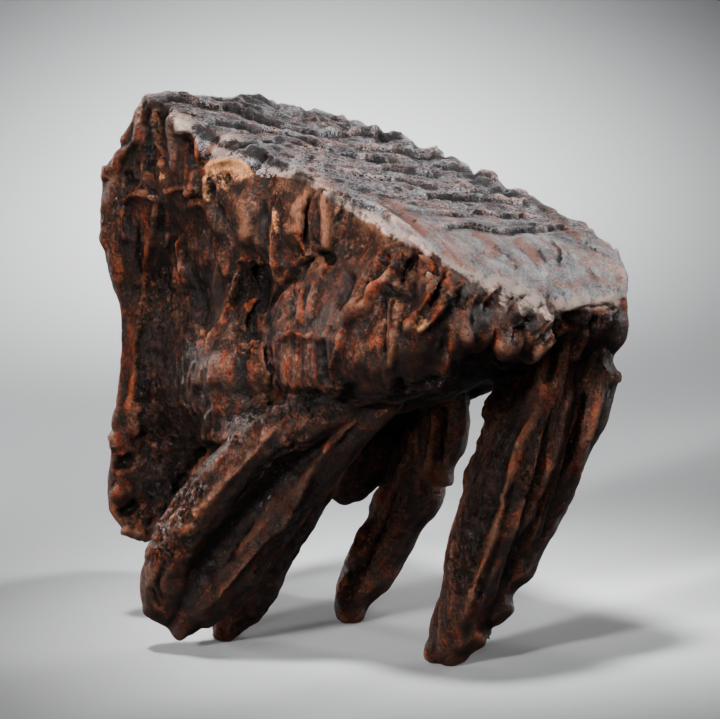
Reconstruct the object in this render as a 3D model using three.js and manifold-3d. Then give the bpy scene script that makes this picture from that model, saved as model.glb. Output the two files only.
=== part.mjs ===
// A mammoth cheek tooth turned to stone: a tall crown of upright plates, worn to a slope on top,
// with its bundled roots spread underneath. One closed body, in millimetres.
// X runs to the right, Y away from the side with the bright rim, Z up from the root tips.
// The tooth row runs along BACK, and the plates stand across it along OVER.

import * as THREE from "three";
import { mergeVertices } from "three/addons/utils/BufferGeometryUtils.js";
import Module from "manifold-3d";

const wasm = await Module();
wasm.setup();

// Directions and driving sizes of the crown.
const BACK = new THREE.Vector3(-0.643, 0.766, 0);
const OVER = new THREE.Vector3(0.766, 0.643, 0);
const RIGHT = new THREE.Vector3(1, 0, 0);
const FRONT_END = new THREE.Vector3(61, -62, 0);
const CROWN_LENGTH = 162;
const HALF_WIDTH = 44;
const PLATE_COUNT = 10;
const PLATE_PITCH = CROWN_LENGTH / PLATE_COUNT;

// The worn face: a sloping plane that rolls over a lip at the front end.
const WORN_HEIGHT = 174.6;
const WORN_FALL_X = 0.24;
const WORN_RISE_Y = 0.11;
const LIP_START = 28;
const LIP_CURVE = 0.0115;
const LIP_EDGE = 12;
const LIP_EDGE_CURVE = 0.03;
const FAR_CORNER_START = 112;
const FAR_CORNER_DIP = 0.0026;
const ENAMEL_STEP = 1.7;
const ENAMEL_SLANT = 0.21;
const ENAMEL_WALL = 1.4;
const FIRST_ENAMEL = 14;
const ENAMEL_PAST_BACK = 6;
const ENAMEL_NEAR_FADE = [-36, -10];
const ENAMEL_LIP_FADE = [10, 40];
const LIP_BREAKS = [-60, -30, -12, -4, 4];
const PAST_BACK = 60;
const WEAR_ACROSS = 180;
const WEAR_COLUMNS = 6;

// How finely the surfaces are faceted.
const CROWN_AROUND = 36;
const CROWN_DOWN = 13;
const CROWN_UNDER = 3;
const ROOT_FACETS = [11, 11];
const FOLD_FACETS = [8, 8];
const OUT_OF_REACH = 260;
const FLOOR_SIDE = 400;
const FLOOR_DEPTH = 60;
const END_MARGIN = 0.01;
const JOIN_TOLERANCE = 0.002;
const ROOT_BLUNTNESS = 0.25;
const FOLD_BLUNTNESS = 0.5;

const point = ([x, y, z]) => new THREE.Vector3(x, y, z);

// Place in the tooth's own grid: along the row from the front end, across it, and up.
function inRow(along, across, up) {
  return FRONT_END.clone()
    .addScaledVector(BACK, along)
    .addScaledVector(OVER, across)
    .setZ(up);
}

const alongRow = (p) => p.clone().sub(FRONT_END).setZ(0).dot(BACK);
const acrossRow = (p) => p.clone().sub(FRONT_END).setZ(0).dot(OVER);

// Height of the worn face without its enamel steps.
function wornHeight(p) {
  const along = alongRow(p);
  const lip = LIP_CURVE * Math.max(0, LIP_START - along) ** 2;
  const edge = LIP_EDGE_CURVE * Math.max(0, LIP_EDGE - along) ** 2;
  const towardsFar = Math.max(0, acrossRow(p) - 5);
  const corner = FAR_CORNER_DIP * Math.max(0, along - FAR_CORNER_START) * towardsFar;
  return WORN_HEIGHT - WORN_FALL_X * p.x + WORN_RISE_Y * p.y - lip - edge - corner;
}

function solidOf(geometry) {
  geometry.deleteAttribute("normal");
  geometry.deleteAttribute("uv");
  const merged = mergeVertices(geometry, 1e-4);
  const mesh = new wasm.Mesh({
    numProp: 3,
    vertProperties: merged.attributes.position.array,
    triVerts: new Uint32Array(merged.index.array),
  });
  return new wasm.Manifold(mesh).setTolerance(JOIN_TOLERANCE);
}

// A sphere whose rows and columns are carried to the places a rule gives them.
function reshapedSphere(around, down, place) {
  const geometry = new THREE.SphereGeometry(1, around, down);
  const position = geometry.attributes.position;
  for (let i = 0; i < position.count; i++) {
    const row = Math.floor(i / (around + 1));
    const column = (i % (around + 1)) % around;
    const p = place(column, row);
    position.setXYZ(i, p.x, p.y, p.z);
  }
  return geometry;
}

const curveThrough = (points, closed = false) =>
  new THREE.CatmullRomCurve3(points.map(point), closed, "catmullrom", 0.5);

// A long swelling of elliptical section that follows a path and closes round at both ends.
function limb({ path, wide, thick = wide, across, bluntness = FOLD_BLUNTNESS, facets = FOLD_FACETS }) {
  const [around, down] = facets;
  const centre = curveThrough(path);
  const girth = curveThrough(wide.map((w, i) => [w, thick[i], 0]));
  const rows = [];
  for (let row = 0; row <= down; row++) {
    const t = (1 - Math.cos((Math.PI * row) / down)) / 2;
    const tangent = centre.getTangent(THREE.MathUtils.clamp(t, END_MARGIN, 1 - END_MARGIN));
    const side = across.clone().addScaledVector(tangent, -across.dot(tangent)).normalize();
    const front = side.clone().cross(tangent);
    const size = girth.getPoint(t).multiplyScalar((4 * t * (1 - t)) ** bluntness);
    rows.push({ at: centre.getPoint(t), side, front, size });
  }
  return solidOf(
    reshapedSphere(around, down, (column, row) => {
      const { at, side, front, size } = rows[row];
      const angle = (2 * Math.PI * column) / around;
      return at
        .clone()
        .addScaledVector(side, size.x * Math.cos(angle))
        .addScaledVector(front, size.y * Math.sin(angle));
    }),
  );
}

// Upright lines down the crown's wall, named by where they stand, from the worn rim to the underside.
const WALL = {
  backNearCorner: [
    [-78, 34, 197],
    [-84, 35, 185],
    [-90, 37, 167],
    [-92, 38, 144],
    [-87, 38, 117],
    [-87, 38, 91],
    [-90, 38, 64],
    [-90, 40, 36],
  ],
  nearHollow: [
    [-58, 14, 187],
    [-60, 14, 173],
    [-63, 16, 158],
    [-66, 22, 141],
    [-69, 36, 119],
    [-71, 42, 95],
    [-72, 44, 71],
    [-74, 47, 28],
  ],
  nearCurtain: [
    [-37, -12, 177],
    [-39, -12, 163],
    [-41, -10, 149],
    [-42, -2, 132],
    [-45, -2, 113],
    [-47, 0, 97],
    [-48, 6, 79],
    [-54, 24, 59],
  ],
  nearMiddle: [
    [-21, -32, 174],
    [-23, -32, 161],
    [-25, -30, 146],
    [-27, -28, 128],
    [-28, -28, 112],
    [-27, -26, 99],
    [-26, -14, 86],
    [-28, 10, 69],
  ],
  nearSlope: [
    [1, -56, 166],
    [-2, -54, 153],
    [-5, -54, 137],
    [-6, -56, 123],
    [-6, -54, 111],
    [-5, -46, 101],
    [-5, -30, 93],
    [-6, -5, 81],
  ],
  frontNearCorner: [
    [26, -86, 153],
    [25, -86, 143],
    [24, -86, 135],
    [23, -84, 126],
    [23, -80, 118],
    [24, -70, 110],
    [26, -48, 100],
    [27, -20, 91],
  ],
  frontNearLip: [
    [43, -79, 141],
    [43, -80, 135],
    [42, -80, 130],
    [42, -78, 125],
    [42, -74, 120],
    [43, -64, 114],
    [43, -44, 107],
    [41, -15, 97],
  ],
  frontLip: [
    [65, -60, 135],
    [63, -62, 127],
    [62, -60, 122],
    [61, -58, 118],
    [59, -54, 114],
    [59, -46, 110],
    [59, -34, 106],
    [54, -10, 99],
  ],
  frontFarCorner: [
    [93, -36, 139],
    [94.5, -36, 134],
    [94.5, -36, 128],
    [94, -36, 122],
    [92, -34, 116],
    [89, -30, 110],
    [84, -20, 105],
    [76, 0, 98],
  ],
  farFront: [
    [68, 2, 160],
    [71, 5, 147],
    [71, 7, 135],
    [69, 7, 122],
    [65, 7, 112],
    [60, 8, 104],
    [54, 8, 97],
    [46, 8, 91],
  ],
  farMiddle: [
    [28, 44, 175],
    [32, 49, 158],
    [34, 51, 142],
    [33, 52, 124],
    [30, 53, 106],
    [26, 52, 88],
    [22, 50, 76],
    [14, 46, 66],
  ],
  backFarCorner: [
    [-10, 90, 184],
    [-14, 96, 168],
    [-18, 100, 148],
    [-17, 99, 124],
    [-15, 96, 100],
    [-14, 90, 76],
    [-16, 84, 56],
    [-20, 74, 44],
  ],
  backMiddle: [
    [-44, 62, 190],
    [-50, 68, 174],
    [-56, 76, 152],
    [-57, 76, 127],
    [-60, 75, 100],
    [-66, 71, 75],
    [-71, 68, 55],
    [-74, 64, 40],
  ],
};
const RIM_LIFT = 18;
const UNDERSIDE_MIDDLE = new THREE.Vector3(-8, 22, 84);
const TOP_MIDDLE = new THREE.Vector3(8, 0, WORN_HEIGHT + 2 * RIM_LIFT);

// The crown's body: rings drawn through the wall lines, closed above the wear and hollowed below.
function crownBody() {
  const lines = Object.values(WALL).map(([rim, ...rest]) => {
    const lifted = [rim[0], rim[1], rim[2] + RIM_LIFT];
    return curveThrough([lifted, rim, ...rest]);
  });
  const rings = [];
  for (let i = 0; i <= CROWN_DOWN; i++) {
    const ring = new THREE.CatmullRomCurve3(
      lines.map((line) => line.getPoint(i / CROWN_DOWN)),
      true,
      "catmullrom",
      0.5,
    );
    rings.push(Array.from({ length: CROWN_AROUND }, (_, k) => ring.getPoint(k / CROWN_AROUND)));
  }
  const last = rings[CROWN_DOWN];
  for (let i = 1; i <= CROWN_UNDER; i++) {
    const share = i / (CROWN_UNDER + 1);
    rings.push(last.map((p) => p.clone().lerp(UNDERSIDE_MIDDLE, share)));
  }
  const down = rings.length + 1;
  return solidOf(
    reshapedSphere(CROWN_AROUND, down, (column, row) => {
      if (row === 0) return TOP_MIDDLE;
      if (row === down) return UNDERSIDE_MIDDLE;
      return rings[row - 1][column];
    }),
  );
}

// Folds, ridges and lobes of the near wall: wide along the row, thick out of the wall.
const NEAR_FOLDS = {
  edgeStrip: {
    path: [
      [-76, 33, 200],
      [-82, 34, 184],
      [-88, 34, 171],
      [-90, 34, 158],
      [-90, 34, 143],
      [-85, 34, 121],
      [-84, 35, 102],
      [-86, 35, 84],
      [-88, 36, 62],
      [-91, 37, 46],
      [-85, 38, 31],
    ],
    wide: [5, 6, 6.5, 6, 6, 5, 4.5, 5, 6, 7, 6],
    facets: [8, 16],
  },
  cornerLobe: {
    path: [
      [-65, 22, 196],
      [-65, 19, 182],
      [-68, 18, 167],
      [-72, 20, 152],
      [-74, 26, 136],
    ],
    wide: [7, 8, 7, 6.5, 4],
  },
  cornerFold: {
    path: [
      [-77, 30, 197],
      [-74, 24, 177],
      [-77, 24, 159],
      [-82, 30, 136],
    ],
    wide: [4, 5, 6, 4],
  },
  brightLobe: {
    path: [
      [-44, 4, 192],
      [-47, 0, 177],
      [-50, 0, 165],
      [-48, 0, 150],
    ],
    wide: [8, 10, 8, 5],
  },
  curtain: {
    path: [
      [-40, -10, 182],
      [-43, -11, 164],
      [-42, -13, 150],
      [-43, -10, 136],
    ],
    wide: [11, 12, 10, 4],
    thick: [6, 6.5, 5, 3],
  },
  curtainHem: {
    path: [
      [-50, -6, 163],
      [-45, -10, 145],
      [-44, -6, 130],
      [-48, -8, 120],
      [-53, -12, 110],
      [-56, -10, 99],
      [-58, -6, 86],
    ],
    wide: [4, 5, 4.5, 5, 5.5, 5, 4],
    facets: [8, 12],
  },
  outerKnob: {
    path: [
      [-45, -6, 124],
      [-48, -13, 104],
      [-49, -11, 84],
    ],
    wide: [10, 14, 12],
    thick: [8, 10, 8],
    facets: [10, 8],
  },
  innerKnob: {
    path: [
      [-33, -16, 126],
      [-34, -21, 105],
      [-32, -16, 84],
    ],
    wide: [10, 13, 12],
    thick: [8, 9, 8],
    facets: [10, 8],
  },
  darkPanel: {
    path: [
      [-25, -24, 180],
      [-29, -24, 162],
      [-30, -24, 148],
      [-27, -25, 132],
    ],
    wide: [11, 12, 10, 6],
    thick: [5, 6, 6, 5],
  },
  lowRidge: {
    path: [
      [-22, -36, 138],
      [-26, -38, 122],
      [-24, -38, 106],
      [-18, -32, 95],
    ],
    wide: [8, 11, 11, 10],
    thick: [5, 7, 7, 6],
  },
  orangePanel: {
    path: [
      [-9, -44, 180],
      [-12, -46, 160],
      [-13, -47, 144],
    ],
    wide: [9, 9, 7],
    thick: [6, 6.5, 5],
  },
  panelRidge: {
    path: [
      [-12, -45, 152],
      [-16, -46, 134],
      [-18, -46, 117],
      [-15, -42, 97],
    ],
    wide: [7, 9, 9, 8],
    thick: [5, 6, 6, 6],
  },
  longSlant: {
    path: [
      [12, -70, 160],
      [11, -76, 150],
      [7, -78, 142],
      [-1, -74, 131],
      [-7, -70, 119],
      [-10, -62, 107],
      [-9, -50, 98],
    ],
    wide: [7, 7, 7, 8, 9, 9, 8],
    thick: [5, 5, 5, 6, 7, 7, 6],
    facets: [8, 12],
  },
  secondSlant: {
    path: [
      [21, -86, 153],
      [16, -86, 138],
      [10, -84, 126],
      [4, -76, 113],
      [3, -60, 102],
    ],
    wide: [6, 7, 9, 11, 10],
    thick: [5, 6, 7, 9, 8],
    facets: [9, 10],
  },
  thirdSlant: {
    path: [
      [30, -90, 151],
      [23, -93, 137],
      [18, -92, 125],
      [15, -82, 110],
    ],
    wide: [5, 6, 7, 8],
  },
  fourthSlant: {
    path: [
      [39, -86, 145],
      [33, -90, 133],
      [29, -90, 122],
      [28, -80, 110],
    ],
    wide: [5, 6, 7, 8],
  },
};

// Lobes under the front lip, wide across the row.
const LIP_FOLDS = {
  lipLobeA: {
    path: [
      [48, -78, 143],
      [43, -85, 135],
      [39, -86, 128],
      [38, -82, 119],
    ],
    wide: [5, 6, 6, 7],
  },
  lipLobeB: {
    path: [
      [56, -72, 139],
      [52, -78, 131],
      [49, -80, 124],
      [51, -74, 117],
    ],
    wide: [5, 6, 7, 6],
  },
  lipLobeC: {
    path: [
      [65, -64, 138],
      [61, -70, 130],
      [57, -70, 122],
      [54, -66, 115],
    ],
    wide: [5, 7, 7, 6],
  },
  lipEdge: {
    path: [
      [66, -61, 135],
      [79, -50, 133],
      [89, -39, 134],
    ],
    wide: [6, 6, 5],
  },
  lowBulge: {
    path: [
      [-24, -20, 128],
      [-12, -38, 111],
      [13, -64, 113],
      [32, -70, 111],
    ],
    wide: [10, 15, 14, 10],
    facets: [11, 10],
  },
};

const ROOTS = {
  nearUpperStrand: {
    path: [
      [6, -44, 100],
      [-22, -43, 90],
      [-43, -35, 70],
      [-58, -26, 51],
      [-69, -17, 30],
      [-75, -11, 8],
    ],
    wide: [10, 12, 12, 12, 12, 10],
  },
  nearLowerStrand: {
    path: [
      [14, -46, 100],
      [-6, -38, 85],
      [-27, -26, 62],
      [-45, -16, 39],
      [-57, -12, 20],
      [-68, -12, 6],
    ],
    wide: [8, 10, 12, 14, 13, 9],
  },
  shadowed: {
    path: [
      [2, 14, 98],
      [-17, 12, 70],
      [-31, 10, 43],
      [-42, 8, 20],
      [-51, 6, -2],
    ],
    wide: [14, 14, 14, 13, 10],
  },
  middle: {
    path: [
      [27, 32, 82],
      [18, 38, 49],
      [8, 39, 29],
      [0, 38, 14],
      [-7, 37, -2],
    ],
    wide: [15, 12.5, 11, 10.5, 9],
  },
  stub: {
    path: [
      [31, 0, 100],
      [29, 6, 74],
      [28, 8, 56],
    ],
    wide: [10.5, 9, 8],
    facets: [10, 8],
  },
  frontOuter: {
    path: [
      [86, -35, 142],
      [80, -33, 103],
      [70, -31, 81],
      [59, -30, 55],
      [49, -31, 31],
      [43, -31, 8],
    ],
    wide: [8, 12, 12.5, 12, 11.5, 10],
    thick: [12, 16, 17, 15, 12, 10],
  },
  frontMiddle: {
    path: [
      [72, -45, 136],
      [64, -44, 99],
      [55, -46, 77],
      [46, -44, 52],
      [37, -39, 26],
      [31, -34, -2],
    ],
    wide: [9, 11, 12, 12, 11, 10],
    thick: [12, 16, 16, 14, 11, 9],
  },
  frontInner: {
    path: [
      [56, -20, 114],
      [51, -22, 88],
      [45, -24, 63],
      [38, -27, 38],
      [31, -30, 14],
      [27, -33, -1],
    ],
    wide: [8, 7.5, 8, 8, 7.5, 7],
    thick: [14, 14, 14, 12, 9, 5],
  },
  farWall: {
    path: [
      [26, 46, 100],
      [10, 54, 68],
      [-4, 56, 57],
      [-17, 58, 51],
    ],
    wide: [13, 14, 14, 13],
    facets: [10, 8],
  },
};

// Ends of the plates down the far wall: how deep each one runs, and how it leans back and out
// on its way down.
const FAR_DEPTH = [46, 52, 58, 66, 74, 84, 94, 104, 112];
const FAR_OFFSET = 0.8;
const FAR_RIM_LIFT = 8;
const FAR_BULGE = 4;
const FAR_LEAN = [
  { back: 0, out: -1, share: 0 },
  { back: 4, out: 1, share: 0.35 },
  { back: 8, out: 1, share: 0.7 },
  { back: 11, out: -5, share: 1 },
];

function farPlateEnds() {
  return FAR_DEPTH.map((depth, i) => {
    const along = PLATE_PITCH * (i + FAR_OFFSET);
    const rim = wornHeight(inRow(along, HALF_WIDTH, 0)) + FAR_RIM_LIFT;
    const wall = HALF_WIDTH + FAR_BULGE * Math.sin((Math.PI * along) / CROWN_LENGTH);
    return {
      path: FAR_LEAN.map(({ back, out, share }) =>
        inRow(along + back, wall + out, rim - share * depth).toArray(),
      ),
      wide: [5, 6.5, 6, 5],
      facets: [6, 5],
    };
  });
}

// Upright ridges of the back end, by how far across they stand.
const BACK_RIDGES = [-28, -6, 16, 36];
const BACK_RIM_LIFT = 4;
const BACK_LEAN = [
  { back: 1, drop: 0 },
  { back: 16, drop: 40 },
  { back: 14, drop: 88 },
  { back: 8, drop: 132 },
];

function backRidges() {
  return BACK_RIDGES.map((across) => {
    const rim = wornHeight(inRow(CROWN_LENGTH, across, 0)) + BACK_RIM_LIFT;
    return {
      path: BACK_LEAN.map(({ back, drop }) => inRow(CROWN_LENGTH + back, across, rim - drop).toArray()),
      wide: [6, 7, 6.5, 5],
      facets: [6, 6],
    };
  });
}

// Everything worn away above the crown, its lower face stepped where enamel edges stand proud.
function wornAway() {
  const lines = [];
  for (let q = FIRST_ENAMEL; q < CROWN_LENGTH + ENAMEL_PAST_BACK; q += PLATE_PITCH / 2) {
    lines.push(q, q + ENAMEL_WALL);
  }
  const breaks = [...LIP_BREAKS, ...lines, CROWN_LENGTH + PAST_BACK];
  const strips = breaks.length - 1;
  const box = new THREE.BoxGeometry(1, 1, 1, strips, WEAR_COLUMNS, 1);
  const position = box.attributes.position;
  for (let i = 0; i < position.count; i++) {
    const row = Math.round((position.getX(i) + 0.5) * strips);
    const across = position.getY(i) * WEAR_ACROSS;
    const slanted = breaks[strips - row];
    const p = inRow(slanted - ENAMEL_SLANT * across, across, 0);
    const up = position.getZ(i) > 0;
    p.z = up ? OUT_OF_REACH : wornHeight(p) + enamelStep(slanted, across, lines);
    position.setXYZ(i, p.x, p.y, p.z);
  }
  return solidOf(box);
}

// Each enamel edge stands up behind a short wall and dips gently to the next one.
function enamelStep(slanted, across, lines) {
  const reach = THREE.MathUtils.smoothstep(across, ...ENAMEL_NEAR_FADE);
  const behindLip = THREE.MathUtils.smoothstep(slanted, ...ENAMEL_LIP_FADE);
  const walls = lines.filter((q) => q <= slanted + 1e-6).length;
  const raised = walls > 0 && walls % 2 === 0 ? 0.5 : -0.5;
  return ENAMEL_STEP * reach * behindLip * raised;
}

function floorBlock() {
  const block = new THREE.BoxGeometry(FLOOR_SIDE, FLOOR_SIDE, FLOOR_DEPTH);
  block.translate(0, 0, -FLOOR_DEPTH / 2);
  return solidOf(block);
}

function toothSolid() {
  const alongTheRow = (form) => ({ across: BACK, ...form });
  const acrossTheRow = (form) => ({ across: OVER, ...form });
  const rooted = (form) => ({ across: RIGHT, facets: ROOT_FACETS, bluntness: ROOT_BLUNTNESS, ...form });
  const forms = [
    ...Object.values(NEAR_FOLDS).map(alongTheRow),
    ...farPlateEnds().map(alongTheRow),
    ...Object.values(LIP_FOLDS).map(acrossTheRow),
    ...backRidges().map(acrossTheRow),
    ...Object.values(ROOTS).map(rooted),
  ];
  let tooth = crownBody();
  for (const form of forms) tooth = tooth.add(limb(form));
  return tooth.subtract(wornAway()).subtract(floorBlock());
}

// Slides a geometry level so that the middle of its box stands over the origin.
function centredOverOrigin(geometry) {
  geometry.computeBoundingBox();
  const middle = geometry.boundingBox.getCenter(new THREE.Vector3());
  return geometry.translate(-middle.x, -middle.y, 0);
}

function meshOf(solid, name, material) {
  const { numProp, vertProperties, triVerts } = solid.getMesh();
  const count = vertProperties.length / numProp;
  const xyz = new Float32Array(count * 3);
  for (let i = 0; i < count; i++) {
    xyz.set(vertProperties.subarray(i * numProp, i * numProp + 3), i * 3);
  }
  const geometry = new THREE.BufferGeometry();
  geometry.setAttribute("position", new THREE.BufferAttribute(xyz, 3));
  geometry.setIndex(new THREE.BufferAttribute(triVerts, 1));
  centredOverOrigin(geometry).computeVertexNormals();
  const mesh = new THREE.Mesh(geometry, material);
  mesh.name = name;
  return mesh;
}

const fossil = new THREE.MeshStandardMaterial({ color: 0x3a2018, roughness: 0.45, metalness: 0 });

const root = new THREE.Group();
root.name = "mammoth_tooth";
root.add(meshOf(toothSolid(), "tooth", fossil));

export default root;
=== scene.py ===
"""A fossil mammoth cheek tooth on a pale studio floor.

The tooth is one body.  Its blank is a merged copy of the modelled solid, fused into a single skin,
worked with strokes (ridges, grooves, steps, knobs) and grain, and thinned.  Finishes are node
materials that read zones painted on the skin and patterns in object space.
"""

import logging
import math
from collections.abc import Sequence
from dataclasses import dataclass, field
from enum import Enum

import bpy
import numpy as np
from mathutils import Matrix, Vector


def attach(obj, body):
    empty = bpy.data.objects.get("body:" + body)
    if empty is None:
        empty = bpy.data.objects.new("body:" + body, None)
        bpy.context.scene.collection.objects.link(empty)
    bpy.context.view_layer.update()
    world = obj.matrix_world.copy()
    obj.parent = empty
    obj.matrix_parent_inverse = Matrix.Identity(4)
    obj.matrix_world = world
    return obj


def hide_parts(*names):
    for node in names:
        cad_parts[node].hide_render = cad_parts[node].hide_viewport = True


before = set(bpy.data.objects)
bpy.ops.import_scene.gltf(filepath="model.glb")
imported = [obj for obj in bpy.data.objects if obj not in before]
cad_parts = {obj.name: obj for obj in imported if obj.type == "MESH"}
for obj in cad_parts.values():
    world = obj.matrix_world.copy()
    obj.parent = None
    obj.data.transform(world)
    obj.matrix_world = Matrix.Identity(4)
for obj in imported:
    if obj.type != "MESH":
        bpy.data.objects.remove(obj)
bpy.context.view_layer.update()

LOG = logging.getLogger("tooth")
MM = 0.001
Array = np.ndarray
Colour = tuple[float, float, float]
Socket = bpy.types.NodeSocket
Feed = Socket | Colour | float
Spot3 = tuple[float, float, float]
Line = tuple[tuple[float, float], ...]
FAR_OFF = 1e9


def smooth_step(low: float, high: float, values: Array) -> Array:
    """Ease values from 0 at low to 1 at high."""
    share = np.clip((values - low) / (high - low), 0.0, 1.0)
    return share * share * (3.0 - 2.0 * share)


def fall_off(away: Array) -> Array:
    """Strength of a local push, from 1 in its middle to 0 at its reach, as one column."""
    return np.clip(1.0 - away**2, 0.0, 1.0)[:, None] ** 2


class LatticeNoise:
    """Smooth random values through space that are the same on every run."""

    SIDE = 64
    OCTAVE_SHIFT = 17.3

    def __init__(self, seed: int) -> None:
        """Fill the lattice.

        Args:
            seed: Number that fixes the pattern.
        """
        generator = np.random.default_rng(seed)
        self.lattice = generator.uniform(-1.0, 1.0, (self.SIDE,) * 3)

    def at(self, places: Array, grain: float) -> Array:
        """Read the pattern.

        Args:
            places: Points, one row each.
            grain: Distance over which the pattern changes.

        Returns:
            One value from -1 to 1 for each point.
        """
        scaled = places / grain
        corner = np.floor(scaled).astype(np.int64)
        share = scaled - corner
        share = share * share * (3.0 - 2.0 * share)
        low = corner % self.SIDE
        high = (corner + 1) % self.SIDE
        total = np.zeros(len(places))
        for pick in range(8):
            index = []
            weight = np.ones(len(places))
            for axis in range(3):
                upper = (pick >> axis) & 1
                index.append(high[:, axis] if upper else low[:, axis])
                weight = weight * (share[:, axis] if upper else 1.0 - share[:, axis])
            total += weight * self.lattice[index[0], index[1], index[2]]
        return total

    def layered(self, places: Array, grain: float, layers: int = 3, gain: float = 0.5) -> Array:
        """Read several octaves of the pattern together.

        Args:
            places: Points, one row each.
            grain: Size of the coarsest octave.
            layers: How many octaves.
            gain: Strength of each octave against the one before.

        Returns:
            One value for each point.
        """
        total = np.zeros(len(places))
        strength = 1.0
        for layer in range(layers):
            total += strength * self.at(places + self.OCTAVE_SHIFT * layer, grain * 0.5**layer)
            strength *= gain
        return total


@dataclass(frozen=True)
class Sheet:
    """The front drawing sheet: how places on the tooth lie on it when seen from its near side.

    Sheet units run to the right and down, 0.36 mm each at the tooth's middle.
    """

    target: Spot3 = (-0.323, -2.383, 104.2)
    distance: float = 1600.0
    tilt_deg: float = 9.0
    unit: float = 0.36
    middle: tuple[float, float] = (360.0, 359.5)
    width: int = 720
    cell: float = 3.0
    reach: float = 7.0
    grazing: float = 0.12

    def forward(self) -> Array:
        """Direction of sight."""
        tilt = math.radians(self.tilt_deg)
        return np.array([0.0, math.cos(tilt), -math.sin(tilt)])

    def upward(self) -> Array:
        """Direction that is up on the sheet."""
        tilt = math.radians(self.tilt_deg)
        return np.array([0.0, math.sin(tilt), math.cos(tilt)])

    def draw(self, places: Array) -> Array:
        """Lay places on the sheet.

        Args:
            places: Points in millimetres.

        Returns:
            Rows of right, down and depth.
        """
        offset = places - np.array(self.target)
        depth = self.distance + offset @ self.forward()
        scale = self.distance / depth / self.unit
        right = self.middle[0] + offset[:, 0] * scale
        down = self.middle[1] - (offset @ self.upward()) * scale
        return np.stack([right, down, depth], axis=1)

    def seen(self, drawn: Array, normals: Array) -> Array:
        """How fully each place shows on the sheet.

        Args:
            drawn: Rows of right, down and depth.
            normals: Outward directions of the places.

        Returns:
            A share from 0, hidden, to 1, facing.
        """
        column = np.floor(drawn[:, 0] / self.cell).astype(np.int64)
        row = np.floor(drawn[:, 1] / self.cell).astype(np.int64)
        cells = int(self.width / self.cell) + 3
        nearest = np.full((cells, cells), FAR_OFF)
        np.minimum.at(nearest, (row + 1, column + 1), drawn[:, 2])
        around = np.full_like(nearest, FAR_OFF)
        for shift_row in (-1, 0, 1):
            for shift_column in (-1, 0, 1):
                around = np.minimum(around, np.roll(nearest, (shift_row, shift_column), (0, 1)))
        behind = drawn[:, 2] - around[row + 1, column + 1]
        facing = smooth_step(-self.grazing, self.grazing, -(normals @ self.forward()))
        return facing * (1.0 - smooth_step(self.reach, self.reach * 1.6, behind))


class Form(Enum):
    """Shapes that a stroke can leave."""

    RIDGE = "ridge"
    CREST = "crest"
    GROOVE = "groove"
    CRACK = "crack"
    STEP = "step"


@dataclass(frozen=True)
class Stroke:
    """One stroke on the front sheet.

    The line runs through points on the sheet.  Width is half the stroke's width in sheet units, height
    is in millimetres, and the stroke fades towards its ends over a share of its length.
    """

    form: Form
    line: Line
    width: float
    height: float
    fade: float = 0.2


class Skin:
    """The tooth's surface while it is worked, as arrays in millimetres."""

    FUSING_PULLS = (0.62, -0.64)

    def __init__(self, mesh: bpy.types.Mesh) -> None:
        """Read a mesh.

        Args:
            mesh: Closed mesh in metres.
        """
        self.mesh = mesh
        count = len(mesh.vertices)
        flat = np.zeros(count * 3, np.float32)
        mesh.vertices.foreach_get("co", flat)
        self.places = flat.reshape(-1, 3).astype(float) / MM
        ends = np.zeros(len(mesh.edges) * 2, np.int64)
        mesh.edges.foreach_get("vertices", ends)
        pairs = ends.reshape(-1, 2)
        self.start = np.concatenate([pairs[:, 0], pairs[:, 1]])
        self.end = np.concatenate([pairs[:, 1], pairs[:, 0]])
        self.valence = np.maximum(np.bincount(self.start, minlength=count), 1)
        self.normals = np.zeros_like(self.places)
        self.refresh()

    def refresh(self) -> None:
        """Write the places to the mesh and read its normals again."""
        self.mesh.vertices.foreach_set("co", (self.places * MM).astype(np.float32).ravel())
        self.mesh.update()
        flat = np.zeros(len(self.places) * 3, np.float32)
        self.mesh.vertex_normals.foreach_get("vector", flat)
        self.normals = flat.reshape(-1, 3).astype(float)

    def neighbours_mean(self, values: Array) -> Array:
        """Mean of the values at the neighbours of each place.

        Args:
            values: One number, or one row, for each place.

        Returns:
            The means in the same layout.
        """
        count = len(self.places)
        if values.ndim == 1:
            return np.bincount(self.start, values[self.end], count) / self.valence
        columns = [
            np.bincount(self.start, values[self.end, axis], count) / self.valence
            for axis in range(values.shape[1])
        ]
        return np.stack(columns, axis=1)

    def smooth(self, rounds: int, share: Array | float = 1.0) -> None:
        """Fuse facets without shrinking the form.

        Args:
            rounds: Passes of smoothing, each followed by one that swells back.
            share: How much of it each place takes.
        """
        weight = share[:, None] if isinstance(share, np.ndarray) else share
        for _ in range(rounds):
            for pull in self.FUSING_PULLS:
                step = self.neighbours_mean(self.places) - self.places
                self.places = self.places + pull * weight * step

    def relax(self, values: Array, rounds: int) -> Array:
        """Blur values over the skin.

        Args:
            values: One number, or one row, for each place.
            rounds: Passes.

        Returns:
            The blurred values.
        """
        for _ in range(rounds):
            values = 0.5 * values + 0.5 * self.neighbours_mean(values)
        return values

    def push(self, heights: Array) -> None:
        """Move each place along its outward direction by its own height in millimetres."""
        self.places = self.places + heights[:, None] * self.normals

    def crown_of_form(self, rounds: int, reach: float) -> Array:
        """How far each place stands out of its surroundings.

        Args:
            rounds: Passes of blurring that set the size of the surroundings.
            reach: Height in millimetres that counts as 1.

        Returns:
            Shares from -1 in a hollow to 1 on a crest.
        """
        level = self.relax(self.places, rounds)
        proud = np.einsum("ij,ij->i", self.places - level, self.normals)
        return np.clip(proud / reach, -1.0, 1.0)


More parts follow.
